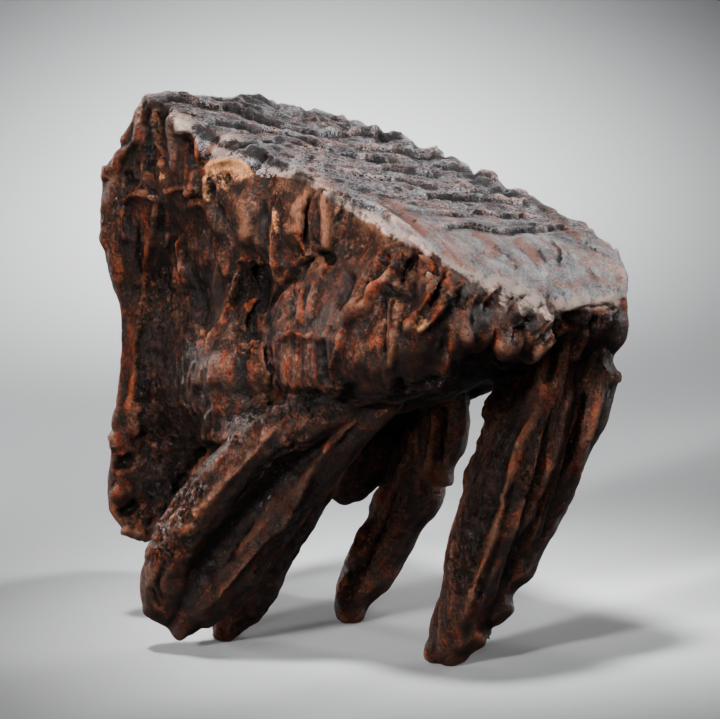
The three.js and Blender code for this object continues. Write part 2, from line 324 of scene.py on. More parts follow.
def along_line(drawn: Array, line: Array, reach: float) -> tuple[Array, Array, Array, Array]:
    """Measure places against a line on the sheet.

    Args:
        drawn: Rows of right and down.
        line: Points of the line.
        reach: Distance past which places are left out.

    Returns:
        Indices of the places within reach, their distance from the line, their signed side (positive
        above a line that runs to the right), and their share of the way along it.
    """
    low = line.min(axis=0) - reach
    high = line.max(axis=0) + reach
    inside = np.all((drawn[:, :2] >= low) & (drawn[:, :2] <= high), axis=1)
    index = np.nonzero(inside)[0]
    spots = drawn[index, :2]
    best = np.full(len(index), FAR_OFF)
    side = np.zeros(len(index))
    share = np.zeros(len(index))
    lengths = np.linalg.norm(np.diff(line, axis=0), axis=1)
    total = lengths.sum()
    run = 0.0
    for first, second, length in zip(line[:-1], line[1:], lengths):
        way = (second - first) / max(length, 1e-6)
        offset = spots - first
        along = np.clip(offset @ way, 0.0, length)
        gap = offset - along[:, None] * way
        distance = np.linalg.norm(gap, axis=1)
        closer = distance < best
        best = np.where(closer, distance, best)
        cross = way[1] * offset[:, 0] - way[0] * offset[:, 1]
        side = np.where(closer, np.sign(cross) * distance, side)
        share = np.where(closer, (run + along) / total, share)
        run += length
    near = best < reach
    return index[near], best[near], side[near], share[near]


def curved(points: Line, pieces: int = 5) -> Array:
    """Draw a smooth line through points.

    Args:
        points: Points on the sheet.
        pieces: Short straight pieces to each span.

    Returns:
        The line's points.
    """
    given = np.array(points, float)
    if len(given) < 3:
        return given
    padded = np.vstack([2 * given[0] - given[1], given, 2 * given[-1] - given[-2]])
    drawn = []
    for index in range(1, len(padded) - 2):
        before, first, second, after = padded[index - 1 : index + 3]
        for step in range(pieces):
            t = step / pieces
            drawn.append(
                0.5
                * (
                    2 * first
                    + (second - before) * t
                    + (2 * before - 5 * first + 4 * second - after) * t**2
                    + (3 * first - before - 3 * second + after) * t**3
                )
            )
    drawn.append(given[-1])
    return np.array(drawn)


@dataclass(frozen=True)
class Grid:
    """The tooth's own grid: along the row from its front end, and across it."""

    shift: tuple[float, float] = (0.777, -2.383)
    front: tuple[float, float] = (61.0, -62.0)
    back_way: tuple[float, float] = (-0.643, 0.766)
    over_way: tuple[float, float] = (0.766, 0.643)
    face_way: Spot3 = (0.231, -0.106, 0.963)
    face_height: float = 174.6
    fall_right: float = 0.24
    rise_back: float = 0.11
    lip_length: float = 28.0
    lip_drop: float = 0.0115
    edge_length: float = 12.0
    edge_drop: float = 0.03
    corner_start: tuple[float, float] = (112.0, 5.0)
    corner_drop: float = 0.0026

    def along_across(self, places: Array) -> tuple[Array, Array]:
        """Distances along the row and across it.

        Args:
            places: Points in millimetres.

        Returns:
            The two distances of each point.
        """
        offset = places[:, :2] - np.array(self.shift) - np.array(self.front)
        return offset @ np.array(self.back_way), offset @ np.array(self.over_way)

    def worn_height(self, places: Array) -> Array:
        """Height of the chewing face over each place.

        Args:
            places: Points in millimetres.

        Returns:
            A height above the ground for each point.
        """
        along, across = self.along_across(places)
        x = places[:, 0] - self.shift[0]
        y = places[:, 1] - self.shift[1]
        lip = self.lip_drop * np.maximum(0.0, self.lip_length - along) ** 2
        edge = self.edge_drop * np.maximum(0.0, self.edge_length - along) ** 2
        past_row, past_side = self.corner_start
        corner = self.corner_drop * np.maximum(0.0, along - past_row)
        corner = corner * np.maximum(0.0, across - past_side)
        return self.face_height - self.fall_right * x + self.rise_back * y - lip - edge - corner

    def flatness(self, normals: Array) -> Array:
        """How squarely each outward direction points out of the chewing face."""
        return normals @ np.array(self.face_way)


@dataclass(frozen=True)
class Fibre:
    """A bundle of fibres along one root, which fluting and streaks follow."""

    path: tuple[Spot3, ...]
    girth: float

    def follow(self, places: Array, shift: tuple[float, float]) -> tuple[Array, Array]:
        """Place points in the bundle.

        Args:
            places: Points in millimetres.
            shift: Slide of the whole tooth in X and Y.

        Returns:
            Rows of two distances across the bundle and one along it, and how far each point belongs
            to it.
        """
        path = np.array(self.path, float)
        path[:, :2] += np.array(shift)
        best = np.full(len(places), FAR_OFF)
        across = np.zeros((len(places), 3))
        run = 0.0
        for first, second in zip(path[:-1], path[1:]):
            length = float(np.linalg.norm(second - first))
            way = (second - first) / length
            offset = places - first
            along = offset @ way
            held = np.clip(along, 0.0, length)
            gap = offset - held[:, None] * way
            distance = np.linalg.norm(gap, axis=1)
            closer = distance < best
            best = np.where(closer, distance, best)
            spot = np.stack([gap[:, 0], gap[:, 1], run + along], axis=1)
            across = np.where(closer[:, None], spot, across)
            run += length
        return across, 1.0 - smooth_step(self.girth, self.girth * 1.5, best)


FIBRES = (
    Fibre(
        ((10, -44, 102), (-14, -40, 88), (-36, -30, 66), (-52, -21, 46), (-64, -15, 24),
         (-72, -11, 6)),
        19,
    ),
    Fibre(((2, 14, 98), (-17, 12, 70), (-31, 10, 43), (-42, 8, 20), (-51, 6, -2)), 15),
    Fibre(((27, 32, 84), (18, 38, 49), (8, 39, 29), (0, 38, 14), (-7, 37, -2)), 14),
    Fibre(((31, 0, 100), (29, 6, 74), (28, 8, 52)), 11),
    Fibre(
        ((72, -33, 140), (66, -34, 103), (58, -34, 79), (49, -33, 54), (40, -32, 28), (33, -33, -1)),
        24,
    ),
)


class Zone(Enum):
    """Regions of colour that are painted on the skin."""

    WORN = "worn"
    # Black crust of the hollows and enamel edges, and painted shade under the tooth and on its shadowed
    # sides.
    BLACK_AND_SHADE = "black_and_shade"
    # Pale rim of the chewing face, and painted highlights on lobes and crests.
    PALE_AND_HIGHLIGHT = "pale"
    RUST = "rust"
    OCHRE = "ochre"
    # Painted sheen: a purple-grey reflection painted into the colour of the hollows and crests.
    PAINTED_SHEEN = "painted_sheen"
    BROWN = "brown"
    CREST = "crest"
    GRIT = "grit"
    ROUGH = "rough"
    UNDER = "under"
    STREAK = "streak"


@dataclass(frozen=True)
class Tint:
    """One stroke of colour on the front sheet."""

    line: Line
    width: float
    strength: float = 1.0


RIDGE, CREST, GROOVE, CRACK, STEP = Form.RIDGE, Form.CREST, Form.GROOVE, Form.CRACK, Form.STEP

# Back corner: the strip along the edge, the lobes beside it and the ledge below them.
CORNER_STROKES = (
    Stroke(RIDGE,
        ((150, 96), (141, 112), (139, 128), (137, 142), (124, 152), (116, 165), (114, 180),
         (110, 195), (104, 215), (101, 238)),
        7, 1.6,
    ),
    Stroke(GROOVE, ((152, 103), (148, 120), (149, 140), (150, 160), (148, 178)), 7, 3.0),
    Stroke(RIDGE, ((157, 108), (155, 125), (158, 140), (163, 155), (161, 175)), 4, 1.8),
    Stroke(GROOVE, ((166, 112), (164, 130), (166, 148), (170, 165)), 6, 3.0),
    Stroke(RIDGE, ((172, 112), (171, 128), (173, 145), (176, 165), (178, 180)), 6, 1.6),
    Stroke(RIDGE, ((187, 108), (184, 122), (186, 138)), 15, 2.4),
    Stroke(GROOVE, ((183, 138), (189, 150), (192, 175)), 7, 2.0),
    Stroke(RIDGE, ((199, 135), (199, 150), (200, 165)), 4, 1.4),
    Stroke(CRACK, ((222, 136), (214, 148), (206, 158), (201, 168)), 5, 1.6),
    Stroke(RIDGE, ((236, 135), (222, 148), (212, 158)), 10, 1.8),
    Stroke(GROOVE, ((256, 141), (243, 150), (238, 157)), 4, 1.4),
    Stroke(GROOVE, ((264, 150), (258, 165), (250, 172)), 6, 1.8),
    Stroke(CREST, ((201, 167), (215, 163), (232, 160), (245, 165), (252, 176)), 5, 1.2),
    Stroke(CRACK, ((222, 172), (227, 178), (226, 188)), 4, 1.6),
    Stroke(RIDGE, ((207, 172), (206, 190), (207, 205)), 4, 1.6),
    Stroke(GROOVE, ((213, 182), (213, 202)), 4, 1.4),
    Stroke(CREST, ((120, 206), (130, 197), (142, 193), (151, 196), (158, 204)), 5, 2.0),
    Stroke(CREST, ((162, 194), (172, 190), (182, 187), (192, 189), (199, 197)), 5, 2.0),
    Stroke(RIDGE, ((190, 187), (198, 193)), 6, 1.4),
    Stroke(RIDGE, ((108, 165), (106, 180)), 7, 1.4),
    Stroke(GROOVE, ((128, 170), (130, 185)), 5, 1.4),
    Stroke(GROOVE, ((136, 160), (137, 178), (134, 188)), 4, 1.6),
)

# Ribs, panels and hollows of the near wall, from the back edge forwards.
WALL_STROKES = (
    Stroke(RIDGE, ((125, 205), (122, 225), (124, 245)), 8, 1.4),
    Stroke(CREST,
        ((151, 203), (153, 220), (150, 245), (146, 272), (142, 300), (138, 330), (135, 360),
         (133, 385), (129, 405), (120, 430)),
        8, 1.8,
    ),
    Stroke(GROOVE, ((138, 225), (139, 250), (141, 275)), 3, 1.3),
    Stroke(GROOVE, ((160, 202), (161, 220), (160, 238)), 4, 1.8),
    Stroke(RIDGE, ((168, 232), (166, 250)), 5, 1.4),
    Stroke(GROOVE, ((176, 235), (177, 255), (178, 285)), 4, 2.4),
    Stroke(RIDGE, ((182, 230), (183, 255), (187, 275), (193, 292)), 5, 2.4),
    Stroke(RIDGE, ((180, 212), (200, 203), (214, 220), (228, 242)), 7, 1.4),
    Stroke(RIDGE, ((203, 225), (206, 250), (209, 275)), 8, 1.6),
    Stroke(RIDGE, ((222, 250), (226, 265), (228, 280)), 6, 1.6),
    Stroke(CRACK, ((218, 203), (226, 222), (236, 244)), 4, 1.8),
    Stroke(GROOVE, ((192, 272), (198, 290), (196, 312)), 9, 2.0),
    Stroke(RIDGE, ((243, 186), (245, 220), (250, 254)), 17, 2.0, 0.35),
    Stroke(CREST, ((235, 266), (242, 259), (254, 263)), 5, 1.2),
    Stroke(GROOVE, ((263, 198), (262, 225), (265, 250), (264, 275)), 8, 2.0),
    Stroke(CREST, ((271, 204), (276, 225), (275, 250), (276, 270), (279, 288)), 5, 2.6),
    Stroke(RIDGE, ((300, 186), (297, 215), (287, 252)), 17, 1.7, 0.35),
    Stroke(RIDGE, ((325, 190), (327, 215), (328, 240), (330, 256)), 8, 2.0),
    Stroke(CRACK, ((345, 198), (341, 215), (336, 228)), 4, 1.6),
    Stroke(GROOVE, ((338, 264), (326, 257), (310, 262), (294, 275), (283, 292)), 8, 3.6),
    Stroke(GROOVE, ((258, 264), (255, 290), (250, 320), (246, 348)), 19, 3.6),
    Stroke(CREST, ((238, 262), (235, 285), (228, 310), (222, 325), (212, 340), (206, 356)), 5, 3.0),
    Stroke(RIDGE, ((228, 342), (220, 372), (222, 404)), 20, 2.0, 0.45),
    Stroke(GROOVE, ((198, 276), (200, 300), (203, 322), (198, 345)), 14, 2.4),
    Stroke(RIDGE, ((198, 321), (200, 337)), 5, 1.8),
    Stroke(CREST, ((279, 290), (272, 310), (267, 326), (272, 337)), 5, 1.8),
    Stroke(RIDGE, ((303, 280), (303, 300), (300, 327)), 6, 2.0),
    Stroke(RIDGE, ((316, 275), (312, 300), (309, 325)), 5, 1.6),
    Stroke(GROOVE, ((292, 285), (291, 305), (289, 322)), 6, 2.0),
    Stroke(CREST, ((281, 341), (295, 331), (306, 337), (314, 331)), 5, 1.8),
    Stroke(RIDGE, ((287, 344), (290, 375), (288, 402)), 15, 1.5, 0.4),
    Stroke(RIDGE, ((250, 346), (252, 378), (256, 404)), 10, 1.2, 0.4),
    Stroke(GROOVE, ((268, 342), (271, 370), (272, 398)), 5, 1.6),
    Stroke(GROOVE, ((320, 335), (321, 360), (326, 388)), 7, 2.0),
)

# The arched hollow under the rim, the slanting ridges in front of it, and the lobes under the lip.
SLANT_STROKES = (
    Stroke(RIDGE, ((352, 212), (372, 225), (392, 240)), 12, 1.2),
    Stroke(GROOVE, ((402, 254), (406, 275), (400, 302)), 18, 3.4),
    Stroke(GROOVE, ((385, 252), (381, 266), (373, 282)), 7, 2.6),
    Stroke(GROOVE, ((352, 270), (345, 290), (338, 312)), 8, 2.6),
    Stroke(CREST, ((374, 264), (384, 251), (400, 245), (417, 245), (427, 254), (431, 276)), 5, 1.8),
    Stroke(CREST, ((372, 264), (374, 276), (366, 290), (356, 305), (345, 321)), 4, 2.6),
    Stroke(RIDGE, ((392, 262), (391, 276), (380, 290), (370, 304), (360, 317)), 5, 2.2),
    Stroke(RIDGE, ((387, 280), (368, 300), (350, 318), (343, 326)), 7, 2.4),
    Stroke(CREST, ((345, 323), (341, 345), (335, 360), (331, 379)), 5, 2.6),
    Stroke(RIDGE, ((362, 326), (358, 355), (360, 388)), 20, 1.6, 0.4),
    Stroke(GROOVE, ((389, 288), (384, 310), (382, 335), (384, 362)), 5, 2.6),
    Stroke(RIDGE, ((402, 290), (398, 315), (395, 335), (392, 355), (388, 374)), 6, 1.6),
    Stroke(CREST, ((430, 260), (433, 285), (425, 305), (412, 322), (405, 337)), 7, 2.6),
    Stroke(GROOVE, ((449, 268), (441, 285), (434, 300), (429, 314)), 4, 2.4),
    Stroke(RIDGE, ((462, 272), (450, 290), (440, 305), (430, 322), (416, 337)), 8, 2.4),
    Stroke(GROOVE, ((448, 326), (446, 342), (441, 358)), 8, 1.6),
    Stroke(RIDGE, ((476, 284), (465, 300), (462, 320), (468, 340), (482, 353)), 9, 1.8),
    Stroke(CREST, ((501, 282), (489, 291), (480, 303)), 4, 1.6),
    Stroke(GROOVE, ((500, 290), (490, 304), (484, 318)), 6, 1.6),
    Stroke(RIDGE, ((510, 292), (503, 304)), 7, 1.8),
    Stroke(GROOVE, ((524, 296), (516, 308), (508, 320)), 5, 1.6),
    Stroke(RIDGE, ((530, 300), (522, 315), (515, 332)), 8, 1.5),
    Stroke(GROOVE, ((543, 303), (540, 318)), 4, 1.3),
    Stroke(RIDGE, ((553, 309), (544, 324), (530, 336), (518, 350)), 9, 1.2),
    Stroke(RIDGE, ((502, 322), (500, 342), (511, 358)), 14, 1.0),
    Stroke(CREST,
        ((482, 353), (500, 363), (514, 368), (528, 360), (545, 345), (560, 330), (576, 317)),
        8, 1.4,
    ),
    Stroke(GROOVE, ((560, 319), (585, 313), (614, 306)), 7, 2.6),
    Stroke(GROOVE, ((524, 326), (512, 340)), 4, 1.4),
    Stroke(RIDGE, ((448, 352), (446, 366), (440, 380)), 8, 1.2),
    Stroke(GROOVE, ((395, 392), (425, 384), (455, 376)), 6, 1.6),
)

# Strands and grooves down the roots.
ROOT_STROKES = (
    Stroke(CREST,
        ((292, 412), (275, 430), (261, 446), (238, 470), (212, 498), (186, 529), (166, 552)),
        11, 2.4,
    ),
    Stroke(GROOVE,
        ((318, 446), (284, 472), (256, 500), (232, 528), (210, 558), (192, 588), (184, 606)),
        24, 2.6, 0.2,
    ),
    Stroke(CREST,
        ((378, 410), (350, 425), (328, 448), (306, 480), (287, 516), (258, 546), (232, 576),
         (214, 600), (192, 626)),
        8, 2.2,
    ),
    Stroke(CRACK, ((270, 470), (248, 492), (230, 514)), 3.5, 1.2),
    Stroke(CRACK, ((252, 524), (236, 546), (218, 572)), 3.5, 1.0),
    Stroke(GROOVE, ((212, 440), (198, 460), (185, 482), (172, 506), (160, 527)), 7, 2.4),
    Stroke(CRACK, ((165, 565), (158, 585), (166, 604)), 4, 1.4),
    Stroke(CRACK, ((150, 585), (162, 610)), 4, 1.2),
    Stroke(CREST, ((392, 470), (375, 505), (362, 535), (350, 565), (340, 592), (338, 612)), 6, 1.6),
    Stroke(GROOVE, ((400, 480), (385, 515), (372, 545), (362, 575)), 5, 1.2),
    Stroke(GROOVE, ((345, 560), (350, 580)), 5, 1.4),
    Stroke(RIDGE, ((434, 395), (436, 425), (430, 460), (428, 485)), 5, 1.4),
    Stroke(GROOVE, ((444, 400), (444, 430), (440, 465)), 4, 1.4),
    Stroke(CREST,
        ((545, 392), (534, 412), (522, 440), (510, 475), (502, 510), (492, 540), (480, 570),
         (470, 602), (458, 635)),
        8, 2.4,
    ),
    Stroke(GROOVE, ((556, 400), (546, 440), (538, 480), (526, 520), (512, 560), (500, 600)), 6, 2.2),
    Stroke(RIDGE, ((575, 372), (566, 415), (552, 465), (538, 515), (522, 560)), 7, 1.6),
    Stroke(GROOVE, ((592, 372), (580, 420), (566, 470), (550, 522), (535, 562)), 5, 2.0),
    Stroke(RIDGE, ((604, 380), (592, 425), (575, 475), (560, 520)), 6, 1.4),
    Stroke(GROOVE, ((603, 338), (613, 348), (617, 358)), 8, 1.2),
    Stroke(RIDGE, ((612, 374), (617, 382)), 10, 0.7),
    Stroke(GROOVE, ((560, 335), (552, 360), (545, 385)), 7, 2.4),
    Stroke(RIDGE, ((590, 325), (580, 345), (572, 365)), 7, 1.6),
    Stroke(GROOVE, ((482, 590), (480, 600)), 4, 0.8),
    Stroke(RIDGE, ((112, 430), (114, 444), (118, 452)), 12, 1.6),
    Stroke(GROOVE, ((112, 462), (124, 464), (136, 458)), 8, 2.4),
    Stroke(RIDGE, ((112, 486), (122, 490), (134, 486)), 15, 1.8),
    Stroke(GROOVE, ((116, 512), (128, 510), (140, 500)), 8, 2.4),
    Stroke(RIDGE, ((122, 524), (134, 530), (146, 528)), 12, 2.0),
    Stroke(RIDGE, ((138, 400), (136, 420), (144, 436)), 15, 1.6),
)

# Enamel edges of the chewing face: each stands behind a short black wall.
ENAMEL_STROKES = (
    Stroke(STEP,
        ((152, 101), (175, 99), (200, 104), (228, 108), (250, 117), (275, 124), (300, 130),
         (322, 134), (350, 135), (380, 138), (410, 141)),
        7, 2.6, 0.06,
    ),
    Stroke(STEP, ((160, 97), (190, 96), (220, 101), (245, 107), (262, 118)), 5, 1.6, 0.1),
    Stroke(STEP,
        ((200, 130), (212, 123), (235, 124), (262, 130), (290, 133), (312, 141), (330, 149),
         (350, 155), (372, 159), (400, 160)),
        6, 2.2, 0.06,
    ),
    Stroke(STEP, ((258, 141), (285, 141), (310, 146), (335, 151)), 4, 1.4, 0.1),
    Stroke(STEP, ((352, 148), (380, 149), (400, 152), (425, 156), (452, 159)), 5, 2.0, 0.08),
    Stroke(STEP, ((376, 168), (400, 169), (425, 174), (445, 176)), 6, 2.0, 0.1),
    Stroke(STEP, ((340, 174), (362, 173), (385, 179), (410, 181), (440, 189)), 4, 1.8, 0.1),
    Stroke(STEP, ((425, 169), (455, 170), (485, 174)), 4, 1.2, 0.15),
    Stroke(STEP, ((415, 197), (440, 197), (465, 199), (500, 201), (532, 204)), 5, 2.2, 0.08),
    Stroke(STEP, ((460, 190), (485, 190), (506, 193)), 4, 1.4, 0.15),
    Stroke(STEP,
        ((392, 206), (420, 210), (450, 214), (480, 213), (510, 217), (545, 218)),
        5, 1.4, 0.12,
    ),
    Stroke(STEP, ((436, 227), (460, 226), (485, 229), (505, 232), (540, 231), (575, 226)), 5, 2.0, 0.1),
    Stroke(STEP, ((575, 240), (595, 248), (610, 256)), 5, 1.4, 0.2),
    Stroke(STEP, ((550, 238), (562, 250), (560, 266)), 5, 1.2, 0.2),
    Stroke(GROOVE, ((470, 246), (500, 258), (520, 268)), 4, 0.8),
    Stroke(GROOVE, ((515, 242), (530, 255), (545, 275)), 4, 0.8),
    Stroke(GROOVE, ((440, 240), (452, 250), (462, 262)), 3, 0.7),
    Stroke(RIDGE, ((345, 205), (370, 218), (400, 233), (425, 246)), 6, 0.9),
    Stroke(GROOVE, ((375, 195), (400, 212), (425, 232)), 5, 0.9),
    Stroke(RIDGE, ((232, 99), (256, 98), (278, 105)), 15, 1.8, 0.2),
    Stroke(RIDGE, ((276, 107), (290, 108), (304, 117)), 12, 1.4, 0.2),
    Stroke(RIDGE, ((306, 120), (328, 119), (350, 126)), 15, 1.6, 0.2),
    Stroke(RIDGE, ((346, 127), (362, 130), (382, 138)), 13, 1.7, 0.2),
    Stroke(RIDGE, ((388, 141), (404, 143), (416, 151)), 12, 1.4, 0.2),
    Stroke(RIDGE, ((430, 155), (448, 158), (462, 167)), 12, 1.6, 0.2),
    Stroke(RIDGE, ((474, 173), (492, 177), (506, 188)), 13, 1.8, 0.2),
    Stroke(RIDGE, ((506, 194), (526, 198), (544, 209)), 13, 1.6, 0.2),
)

STROKES = CORNER_STROKES + WALL_STROKES + SLANT_STROKES + ROOT_STROKES


@dataclass(frozen=True)
class Shove:
    """A push of the form in millimetres: its middle, its reach and its way."""

    middle: Spot3
    reach: float
    way: Spot3


# The lower end of one rib of the far wall is laid against the wall.
SHOVES = (Shove((-14.0, 66.0, 74.0), 24.0, (1.0, -9.0, 5.0)),)


@dataclass(frozen=True)
class Nudge:
    """A small sideways shift of the form on the front sheet, in sheet units."""

    middle: tuple[float, float]
    reach: float
    way: tuple[float, float]


NUDGES = (
    Nudge((175, 94), 34, (0, -4)),
    Nudge((102, 178), 16, (-3, 0)),
    Nudge((112, 150), 16, (5, 1)),
    Nudge((100, 212), 14, (3, 0)),
    Nudge((101, 238), 14, (-4, 0)),
    Nudge((112, 425), 22, (-4, 0)),
    Nudge((140, 543), 14, (0, 4)),
    Nudge((148, 550), 12, (-3, 0)),
    Nudge((152, 624), 18, (4, -4)),
    Nudge((176, 634), 14, (0, 7)),
    Nudge((198, 632), 14, (2, -4)),
    Nudge((246, 634), 20, (-5, -5)),
    Nudge((290, 560), 44, (-4, -2)),
    Nudge((350, 494), 30, (0, 8)),
    Nudge((362, 520), 34, (6, 0)),
    Nudge((434, 506), 30, (5, 0)),
    Nudge((374, 604), 26, (-7, -2)),
    Nudge((462, 470), 22, (-6, 0)),
    Nudge((487, 404), 20, (-9, 5)),
    Nudge((452, 540), 40, (-4, 0)),
    Nudge((430, 654), 18, (-6, 1)),
    Nudge((464, 662), 14, (0, -4)),
    Nudge((506, 624), 18, (-9, 0)),
    Nudge((522, 596), 22, (-9, -2)),
    Nudge((478, 642), 16, (8, 1)),
    Nudge((497, 632), 14, (-9, -4)),
    Nudge((576, 490), 34, (-2, 0)),
    Nudge((618, 360), 18, (-8, 0)),
    Nudge((628, 305), 20, (-3, 0)),
    Nudge((624, 268), 18, (4, 0)),
    Nudge((610, 246), 22, (-4, 4)),
    Nudge((560, 210), 30, (-1, 4)),
)


@dataclass(frozen=True)
class Level:
    """Depths of the near wall on the front sheet.

    Each row holds how far down it lies and its marks, each with its place to the right and its depth.
    """

    rows: tuple[tuple[float, tuple[tuple[float, float], ...]], ...]
    reach: float = 58.0
    edge: float = 9.0

    def read(self, drawn: Array) -> tuple[Array, Array]:
        """Read the level.

        Args:
            drawn: Rows of right, down and depth.

        Returns:
            The depth at each place, and how far the level applies there.
        """
        depth = np.zeros(len(drawn))
        share = np.zeros(len(drawn))
        for (top, upper), (bottom, lower) in zip(self.rows[:-1], self.rows[1:]):
            index = np.nonzero((drawn[:, 1] >= top) & (drawn[:, 1] < bottom))[0]
            right = drawn[index, 0]
            way = (drawn[index, 1] - top) / (bottom - top)
            above = np.interp(right, [mark[0] for mark in upper], [mark[1] for mark in upper])
            below = np.interp(right, [mark[0] for mark in lower], [mark[1] for mark in lower])
            depth[index] = above + way * (below - above)
            left = upper[0][0] + way * (lower[0][0] - upper[0][0])
            end = upper[-1][0] + way * (lower[-1][0] - upper[-1][0])
            inside = smooth_step(-self.edge, 0.0, right - left)
            share[index] = inside * (1.0 - smooth_step(0.0, self.edge, right - end))
        first, last = self.rows[0][0], self.rows[-1][0]
        share = share * smooth_step(0.0, 10.0, drawn[:, 1] - first)
        share = share * smooth_step(0.0, 10.0, last - drawn[:, 1])
        return depth, share


LEVELS = (
    Level(
        (
            (118, ((140, 15), (158, 4), (176, -8), (190, -10), (206, -14), (222, -12))),
            (130, ((140, 14), (158, 3), (176, -8), (190, -12), (206, -16), (222, -15))),
            (142, ((140, 13), (158, 3), (176, -7), (188, -12), (200, -15), (218, -18), (242, -20))),
            (156, ((140, 13), (158, 5), (176, -4), (188, -11), (200, -16), (224, -20), (250, -26))),
            (184, ((140, 12), (158, 6), (176, 0), (188, -8), (200, -16), (224, -20), (250, -28))),
            (
                212,
                (
                    (138, 14), (158, 8), (176, 5), (188, 1), (200, -8),
                    (212, -15), (236, -23), (256, -30),
                ),
            ),
            (
                240,
                (
                    (134, 20), (158, 14), (176, 11), (188, 6), (200, -2),
                    (212, -11), (224, -17), (248, -24),
                ),
            ),
            (
                268,
                (
                    (128, 25), (146, 25), (164, 21), (182, 14), (194, 7),
                    (206, -1), (218, -9), (230, -14), (250, -20),
                ),
            ),
            (
                296,
                (
                    (126, 27), (152, 27), (170, 23), (182, 16), (194, 6),
                    (206, -4), (218, -9), (236, -13), (256, -18),
                ),
            ),
            (
                324,
                (
                    (126, 29), (152, 28), (170, 23), (182, 14), (194, 3),
                    (206, -8), (218, -14), (240, -18),
                ),
            ),
            (
                352,
                (
                    (126, 31), (152, 30), (170, 24), (182, 13), (192, -1),
                    (204, -14), (212, -19), (232, -22),
                ),
            ),
            (
                380,
                (
                    (126, 33), (152, 32), (170, 25), (182, 13), (192, -3),
                    (202, -14), (212, -18), (232, -22),
                ),
            ),
            (
                408,
                (
                    (122, 35), (152, 35), (170, 28), (182, 18), (194, 5),
                    (206, -5), (224, -14), (236, -20),
                ),
            ),
            (430, ((120, 37), (152, 37), (170, 34), (182, 28), (200, 13), (218, -5), (236, -20))),
            (460, ((118, 39), (134, 39), (152, 40), (170, 40), (184, 40))),
            (500, ((118, 42), (134, 42), (152, 43), (164, 44))),
            (545, ((128, 46), (142, 47), (152, 48))),
        )
    ),
    Level(
        (
            (252, ((330, -56), (350, -62), (370, -70), (382, -78))),
            (262, ((330, -56), (350, -62), (370, -71), (384, -81))),
            (276, ((330, -57), (346, -62), (362, -72), (380, -84))),
            (288, ((320, -57), (336, -61), (350, -72), (364, -83))),
            (302, ((310, -55), (324, -64), (338, -73), (354, -82))),
            (316, ((300, -54), (314, -62), (330, -72), (346, -80))),
            (340, ((300, -55), (312, -64), (322, -72), (340, -79))),
            (370, ((300, -56), (314, -64), (328, -72))),
            (395, ((300, -51), (314, -57), (326, -62))),
        ),
        30.0,
    ),
    Level(
        (
            (190, ((254, -30), (262, -33), (280, -38))),
            (215, ((254, -29), (264, -33), (280, -38))),
            (275, ((252, -23), (266, -30), (280, -36))),
        ),
        20.0,
    ),
    Level(
        (
            (392, ((214, -20), (240, -23), (262, -28))),
            (404, ((214, -16), (236, -22), (250, -25), (266, -34))),
            (416, ((210, -9), (230, -20), (242, -27), (256, -39))),
            (428, ((206, 0), (222, -13), (232, -24), (244, -40))),
            (446, ((200, 16), (214, 2), (226, -24), (236, -38))),
        ),
        46.0,
        6.0,
    ),
    Level(
        (
            (350, ((410, -96), (430, -95), (450, -95))),
            (366, ((410, -93), (430, -92), (450, -92))),
            (378, ((410, -89), (430, -88), (450, -88))),
            (396, ((410, -84), (430, -83), (450, -82))),
        ),
        26.0,
    ),
)

# Places along the row where an enamel edge crosses the chewing face.
PLATE_EDGES = (
    8.0, 19.0, 27.0, 35.0, 43.0, 51.5, 61.0, 71.0, 78.0, 85.0, 95.0, 103.0, 110.0, 122.0, 130.0,
    141.0, 153.0,
)

# Near rim of the chewing face, from the back corner round to the far end of the lip.
RIM = (
    (138, 104), (150, 98), (165, 106), (178, 122), (195, 138), (203, 158), (225, 158), (245, 162),
    (262, 177), (285, 174), (305, 178), (322, 185),
    (342, 197), (362, 213), (382, 226), (402, 240), (430, 250), (446, 262), (458, 271), (476, 276),
    (484, 288),
    (502, 287), (520, 296), (546, 311), (562, 311), (590, 307), (613, 301), (627, 296),
)

GRIT_PATCHES = (
    Tint(((165, 300), (165, 350), (172, 420), (178, 480), (165, 535)), 42),
    Tint(((255, 270), (250, 310), (246, 345)), 20),
    Tint(((215, 425), (250, 425), (300, 405), (340, 400)), 24),
    Tint(((303, 240), (308, 256)), 14),
    Tint(((405, 262), (402, 300)), 16, 0.7),
    Tint(((470, 385), (500, 395), (490, 450), (475, 520), (462, 580)), 24),
    Tint(((300, 440), (280, 465), (262, 482)), 16),
    Tint(((565, 325), (600, 318)), 12),
    Tint(((385, 398), (420, 390), (455, 382), (490, 374)), 16),
    Tint(((155, 120), (152, 160)), 12, 0.8),
    Tint(((525, 450), (528, 490)), 10, 0.8),
    Tint(((240, 620), (300, 520)), 20, 0.7),
)

